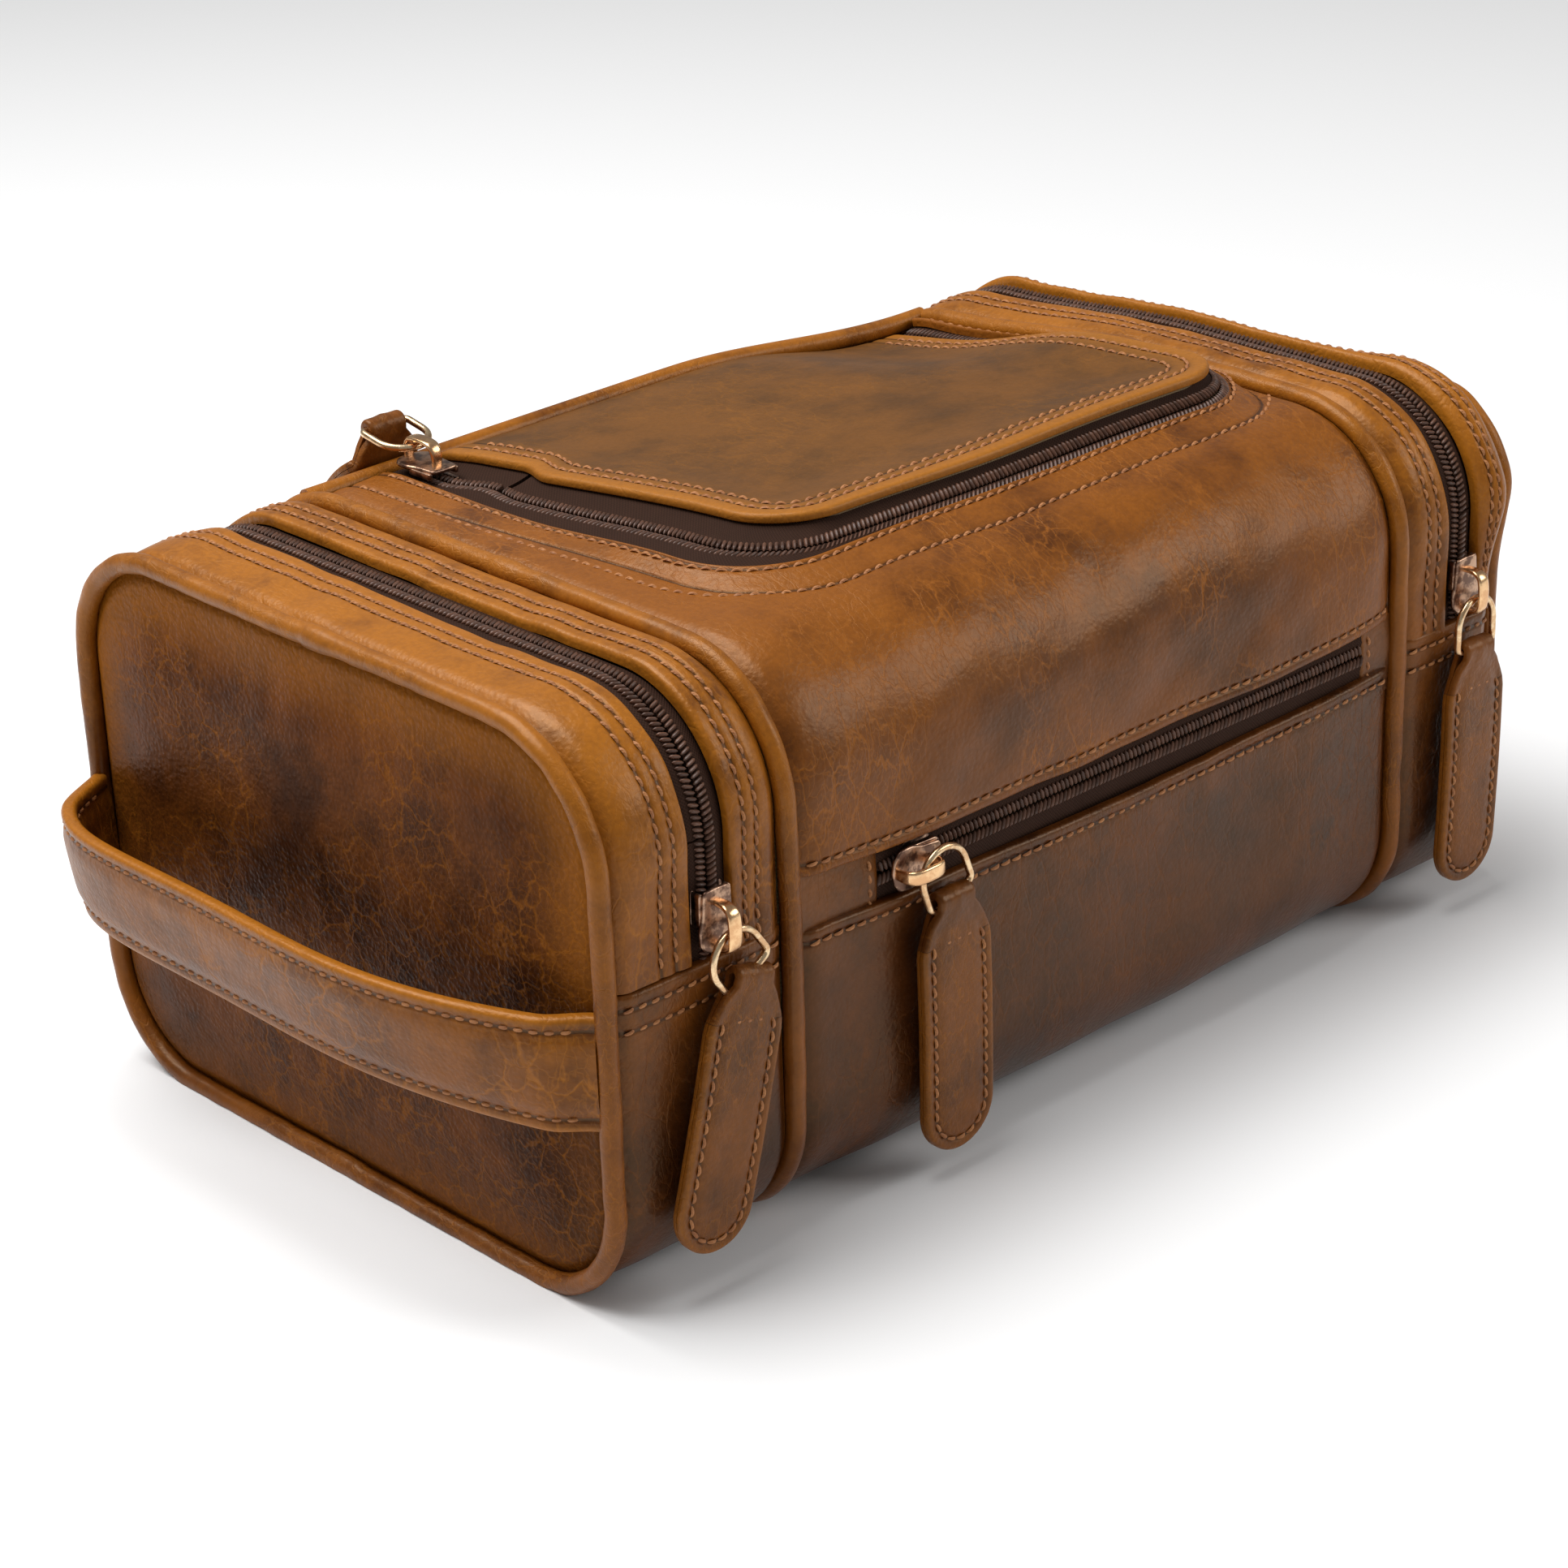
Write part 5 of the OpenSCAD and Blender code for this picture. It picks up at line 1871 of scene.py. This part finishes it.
@dataclass
class ZipPull:
    """Slider, pull ring and leather puller of one zip."""

    name: str
    slider: Arr
    ring: Arr
    lean: float = 0.0
    posts: tuple[float, float] = (-5.4, 3.4)
    ring_z: float = 5.3
    wire: float = 0.8
    half: float = 6.0
    arc: float = 3.0
    bar: float = 8.6
    width: float = 19.0
    length: float = 56.0
    thick: float = 3.4
    fold: float = 2.5
    stitch_in: float = 2.5

    def make_slider(self) -> None:
        """Two plates, side guides and nose of the slider, then the curved bridge band."""
        outline = np.array(
            [[6.4, -3.3], [6.6, 0], [6.4, 3.3], [1.5, 3.7], [-1.5, 4.6], [-4.6, 4.4], [-6.2, 2.8]]
            + [[-6.8, 0], [-6.2, -2.8], [-4.6, -4.4], [-1.5, -4.6], [1.5, -3.7]]
        )
        build = Build()
        plate(build, outline, 1.5, 2.5, 0.4)
        plate(build, outline, -2.5, -1.5, 0.4)
        for row in (-1, 1):
            for a, b in ((0.55, 1.9), (-1.9, -0.55)):
                guide = np.array([[-1, 2.9], [6.2, 2.9], [6.2, 4.0], [-1, 4.2]]) * (1, row)
                plate(build, guide, a, b, 0.2)
        plate(
            build, np.array([[-5.0, -0.6], [-1.3, -0.3], [-1.3, 0.3], [-5.0, 0.6]]), -1.7, 1.7, 0.1
        )
        body = f"{self.name}_slider"
        dress(build.carried(self.slider), body, Finish.BRONZE, body)
        a, b = self.posts
        rise = np.array(
            [
                [a - 0.3, 2.2], [a - 0.35, 4.0], [a - 0.1, 5.6], [a + 0.8, 6.75], [a + 2.4, 7.05],
                [(a + b) / 2, 7.15]
            ]
            + [[b - 2.4, 7.05], [b - 0.8, 6.75], [b + 0.1, 5.6], [b + 0.35, 4.0], [b + 0.3, 2.2]]
        )
        path, run = resample(grid(rise[:, 0], 0 * rise[:, 0], rise[:, 1]), 0.4)
        for _ in range(3):
            path[1:-1] = (path[:-2] + 2 * path[1:-1] + path[2:]) / 4
        ahead = unit(np.gradient(path, axis=0))
        side = np.tile((0.0, 1.0, 0.0), (len(path), 1))
        half = 1.15 + 0.45 * np.sin(math.pi * run / run[-1])
        shape = circle(16)
        shape = np.sign(shape) * np.abs(shape) ** 0.6
        shape = np.stack(
            [shape[None, :, 0] * half[:, None], 0 * half[:, None] + shape[None, :, 1] * 0.55], -1
        )
        band = Build().tube(swept(path, side, np.cross(side, ahead), shape)).carried(self.slider)
        dress(band, f"{self.name}_band", Finish.BAND, body, ())

    def make_ring(self) -> None:
        """D-shaped ring: a half circle, two legs and a bar with rounded corners, in round wire."""
        bend = 1.4
        t, c = np.linspace(0, math.pi, 30), np.linspace(0, math.pi / 2, 8)
        x, y = self.half - bend, -self.bar + bend
        corner = pair(bend * np.cos(c), bend * np.sin(c))
        path = np.concatenate(
            [
                pair(self.half * np.cos(t), -self.arc + self.half * np.sin(t)),
                pair(-corner[:, 0] - x, y - corner[:, 1]),
                pair(x + corner[::-1, 0], y - corner[::-1, 1]),
            ]
        )
        path, run = resample(np.hstack([path, np.zeros((len(path), 1))]), 0.5, closed=True)
        ahead = unit(np.roll(path, -1, axis=0) - np.roll(path, 1, axis=0))
        up = np.tile((0.0, 0.0, 1.0), (len(path), 1))
        rings = swept(path + (0, 0, self.ring_z), np.cross(up, ahead), up, circle(12, self.wire))
        build = Build().tube(rings, along=run, loop=True).carried(self.ring)
        dress(
            build, f"{self.name}_pull_ring", Finish.BRASS, f"{self.name}_ring",
            sharp=80
        )

    def hang(self) -> tuple[Arr, Arr, Arr]:
        """Middle line from bar to tip, its outward directions, and the sideways direction."""
        m = self.ring @ shift(0, -self.bar, self.ring_z) @ turn("z", self.lean)
        v = np.linspace(0, self.length, 113)
        path = grid(0 * v, -v, 0.5 * np.sin(math.pi * v / self.length))
        ahead = unit(np.gradient(path, axis=0))
        normal = np.cross(np.tile((1.0, 0.0, 0.0), (len(v), 1)), ahead) * -1
        return moved(path, m), normal @ m[:3, :3].T, m[:3, 0]

    def half_width(self, v: Arr) -> Arr:
        """Half width at a distance below the bar: neck, shoulders, straight sides and round tip."""
        w = self.width / 2
        shoulder = np.interp(v, (0, 1.5, 3.5, 6.0, 9.0, 11.0), (4.8, 4.9, 6.6, w - 1.5, w - 0.3, w))
        tip = np.sqrt(np.maximum(w**2 - np.maximum(v - (self.length - w), 0) ** 2, 0))
        return np.minimum(shoulder, tip)

    def make_puller(self) -> None:
        """Puller: one strip up its front, round the bar and down its back, and its stitches."""
        path, normal, side = self.hang()
        step = unit(np.gradient(path, axis=0))
        total = np.linspace(0, 1, len(path)) * self.length
        w = self.width / 2
        body = np.linspace(0, self.length - w, 64)
        tip = w * np.sin(np.linspace(0, math.pi / 2, 24))[1:] * 0.9995
        v = np.concatenate([body, self.length - w + tip])
        ply = self.thick / 2

        def at(line: Arr, down: Arr) -> Arr:
            """Values along the middle line, at distances down from the bar."""
            return np.stack([np.interp(down, total, line[:, k]) for k in range(3)], -1)

        middle, n = at(path, v), unit(at(normal, v))
        outer = ply + (self.fold - ply) * (1 - smooth(v / 6))
        inner = 0.06 + (self.wire + 0.05 - 0.06) * (1 - smooth(v / 4.5))
        phi = np.linspace(math.pi / 2, -math.pi / 2, 15)[1:-1, None]
        around = np.cos(phi) * -step[0] + np.sin(phi) * normal[0]
        lines = {
            "middle": np.concatenate([middle[::-1], np.tile(path[0], (13, 1)), middle]),
            "normal": np.concatenate([n[::-1], around, -n]),
            "outer": np.concatenate([outer[::-1], np.full(13, self.fold), outer]),
            "inner": np.concatenate([inner[::-1], np.full(13, self.wire + 0.05), inner]),
            "v": np.concatenate([v[::-1], np.full(13, 0.0), v]),
        }
        half = self.half_width(lines["v"])
        u = half[:, None] * np.sin(np.linspace(-math.pi / 2, math.pi / 2, 31))[None, :]
        tip = self.width / 2 - np.hypot(u, np.maximum(lines["v"][:, None] - (self.length - w), 0))
        tip = np.where(lines["v"][:, None] > self.length - w, tip, 99)
        edge = np.maximum(np.minimum(half[:, None] - np.abs(u), tip), 0)
        dip = groove(edge, (self.stitch_in,), 0.28, 0.9) * smooth((lines["v"][:, None] - 6) / 3)
        belly = 0.25 * smooth((edge - self.stitch_in) / 3)
        skin = lines["outer"][:, None] - 0.25 - turned_edge(edge, 0.85) - dip + belly
        base = lines["middle"][:, None] + u[..., None] * side
        top = base + skin[..., None] * lines["normal"][:, None]
        under = base + lines["inner"][:, None, None] * lines["normal"][:, None]
        shown = edge + 30 * smooth((9 - lines["v"][:, None]) / 2)
        name = f"{self.name}_puller"
        dress(
            Build().slab(top, under, shown, lines["v"][:, None]), name, Finish.PULLER,
            name
        )
        inset = w - self.stitch_in
        down = np.linspace(8.5, self.length - w, 40)
        t = np.linspace(0, math.pi, 40)[1:-1]
        neck = np.minimum(inset, self.half_width(down) - self.stitch_in)
        us = np.concatenate([-neck, -inset * np.cos(t)])
        us = np.concatenate([us, -us[:40][::-1]])
        vs = np.concatenate([down, self.length - w + inset * np.sin(t), down[::-1]])
        build = Build()
        for face in (1, -1):
            for uu, vv in ((us, vs), (np.linspace(-4.2, 4.2, 12), np.full(12, 8.6))):
                on, nn = at(path, vv), unit(at(normal, vv)) * face
                rise = ply - 0.25 + (self.fold - ply) * (1 - smooth(vv / 6)) - 0.12
                sew(build, on + uu[:, None] * side + nn * rise[:, None], nn, 5.0, 2.8)
        dress(build, f"{name}_stitches", Finish.THREAD, name, ())

    def make(self) -> None:
        """Makes the three pieces."""
        self.make_slider()
        self.make_ring()
        self.make_puller()


@dataclass
class LidPull(ZipPull):
    """The lid's pull, whose puller bends down over the bag's rear edge."""

    form: Form | None = None
    bar_at: tuple[float, float, float] = (-66.5, 67.82, 126.81)

    def hang(self) -> tuple[Arr, Arr, Arr]:
        """Middle line: a short slope, an arc round the rear bend and a straight drop."""
        skin = self.form.section
        cy, cz = skin.half_w - skin.top_r, skin.height - skin.top_r
        r = skin.top_r + 1.6 + self.thick / 2
        a = np.radians(np.linspace(62, 0, 40))
        bend = pair(cy + r * np.cos(a), cz + r * np.sin(a))
        x, y, z = self.bar_at
        drop = np.array([[cy + r, cz - 30.0]])
        line = np.concatenate([[[y, z]], bend, drop])
        path, run = resample(grid(np.full(len(line), x), line[:, 0], line[:, 1]), 0.5)
        path = path[run <= self.length]
        ahead = unit(np.gradient(path, axis=0))
        side = np.array([1.0, 0.0, 0.0])
        normal = np.cross(ahead, side)
        normal *= np.sign(normal[len(normal) // 2, 1])
        return path, normal, side


# ---- studio -----------------------------------------------------------------------------------


@dataclass(frozen=True)
class Softbox:
    """A square soft light that faces the bag."""

    name: str
    place: tuple[float, float, float]
    size: float
    power: float
    tint: Colour = (1.0, 1.0, 1.0)

    def make(self) -> None:
        """Adds the light."""
        data = bpy.data.lights.new(self.name, "AREA")
        data.size, data.energy, data.color = self.size, self.power, self.tint
        obj = bpy.data.objects.new(self.name, data)
        obj.location = self.place
        back = unit(np.array(self.place) - (0, 0, 0.05))
        right = unit(np.cross((0, 0, 1), back))
        aim = Matrix(np.stack([right, np.cross(back, right), back], 1))
        obj.rotation_euler = aim.to_euler()
        bpy.context.scene.collection.objects.link(obj)


@dataclass(frozen=True)
class Studio:
    """Pale floor, soft lights and the camera."""

    azimuth: float = -42.505
    elevation: float = 24.709
    roll: float = -2.103
    eye: tuple[float, float, float] = (-0.56729, -0.60030, 0.42176)
    lens: float = 94.907
    floor: float = 4.0

    def make(self) -> None:
        """Sets up floor, lights, world and camera."""
        half = self.floor / 2
        corners = [(-half, -half, 0), (half, -half, 0), (half, half, 0), (-half, half, 0)]
        mesh = bpy.data.meshes.new("floor")
        mesh.from_pydata(corners, [], [(0, 1, 2, 3)])
        obj = bpy.data.objects.new("floor", mesh)
        bpy.context.scene.collection.objects.link(obj)
        material = bpy.data.materials.new("floor_paper")
        material.use_nodes = True
        shader = material.node_tree.nodes["Principled BSDF"]
        shader.inputs["Base Color"].default_value = (0.86, 0.86, 0.86, 1.0)
        shader.inputs["Roughness"].default_value = 0.9
        obj.data.materials.append(material)
        world = bpy.data.worlds.new("studio")
        world.use_nodes = True
        world.node_tree.nodes["Background"].inputs[0].default_value = (1.0, 1.0, 1.0, 1.0)
        world.node_tree.nodes["Background"].inputs[1].default_value = 0.26
        bpy.context.scene.world = world
        bpy.context.scene.view_settings.view_transform = "Standard"
        Softbox("top_light", (-0.30, 0.30, 1.1), 0.9, 19.0).make()
        Softbox("front_light", (0.95, -1.05, 0.85), 0.8, 9.0).make()
        self.camera()

    def camera(self) -> None:
        """Adds the camera: its back axis from azimuth and elevation, then turned by roll."""
        az, el, roll = (math.radians(a) for a in (self.azimuth, self.elevation, self.roll))
        back = np.array([math.sin(az) * math.cos(el), -math.cos(az) * math.cos(el), math.sin(el)])
        right = unit(np.cross((0, 0, 1), back))
        up = np.cross(back, right)
        axes = [
            math.cos(roll) * right + math.sin(roll) * up,
            math.cos(roll) * up - math.sin(roll) * right, back
        ]
        data = bpy.data.cameras.new("camera")
        data.sensor_width, data.lens, data.clip_end = 36.0, self.lens, 10.0
        obj = bpy.data.objects.new("camera", data)
        matrix = Matrix.Identity(4)
        for k, axis in enumerate((*axes, np.array(self.eye))):
            for row in range(3):
                matrix[row][k] = axis[row]
        obj.matrix_world = matrix
        bpy.context.scene.collection.objects.link(obj)
        bpy.context.scene.camera = obj


def main() -> None:
    """Builds the bag piece by piece in the shared frame."""
    logging.basicConfig(level=logging.INFO, format="%(message)s")
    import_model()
    form = Form.measured()
    centre = CentreSection(form)
    centre.make()
    FrontPocket(form, centre).make()
    Lid(form, centre).make()
    for side in Side:
        EndCompartment(form, side).make()
    CarryStrap(form).make()
    pocket = shift(-59, -81, 70) @ turn("x", 90)
    ZipPull("pocket", pocket, pocket @ shift(3.4, 0, 0) @ turn("z", 20), -20).make()
    for side, lean, hang in ((Side.LEFT, 35, -50), (Side.RIGHT, 0, -2)):
        end = shift(side.value * form.zip_x, -81, 77.5) @ turn("x", 90) @ turn("z", 90)
        ZipPull(side.word, end, end @ shift(-5.4, 0, 0) @ turn("z", -90 + lean), hang).make()
    lid = shift(-66.5, 54, 119.5) @ turn("z", -90)
    ring = lid @ shift(-2.4, 0, 5.3) @ turn("y", 10) @ shift(-3, 0, -5.3) @ turn("z", -90)
    LidPull("lid", lid, ring, form=form).make()
    Studio().make()


if __name__ == "__main__":
    main()
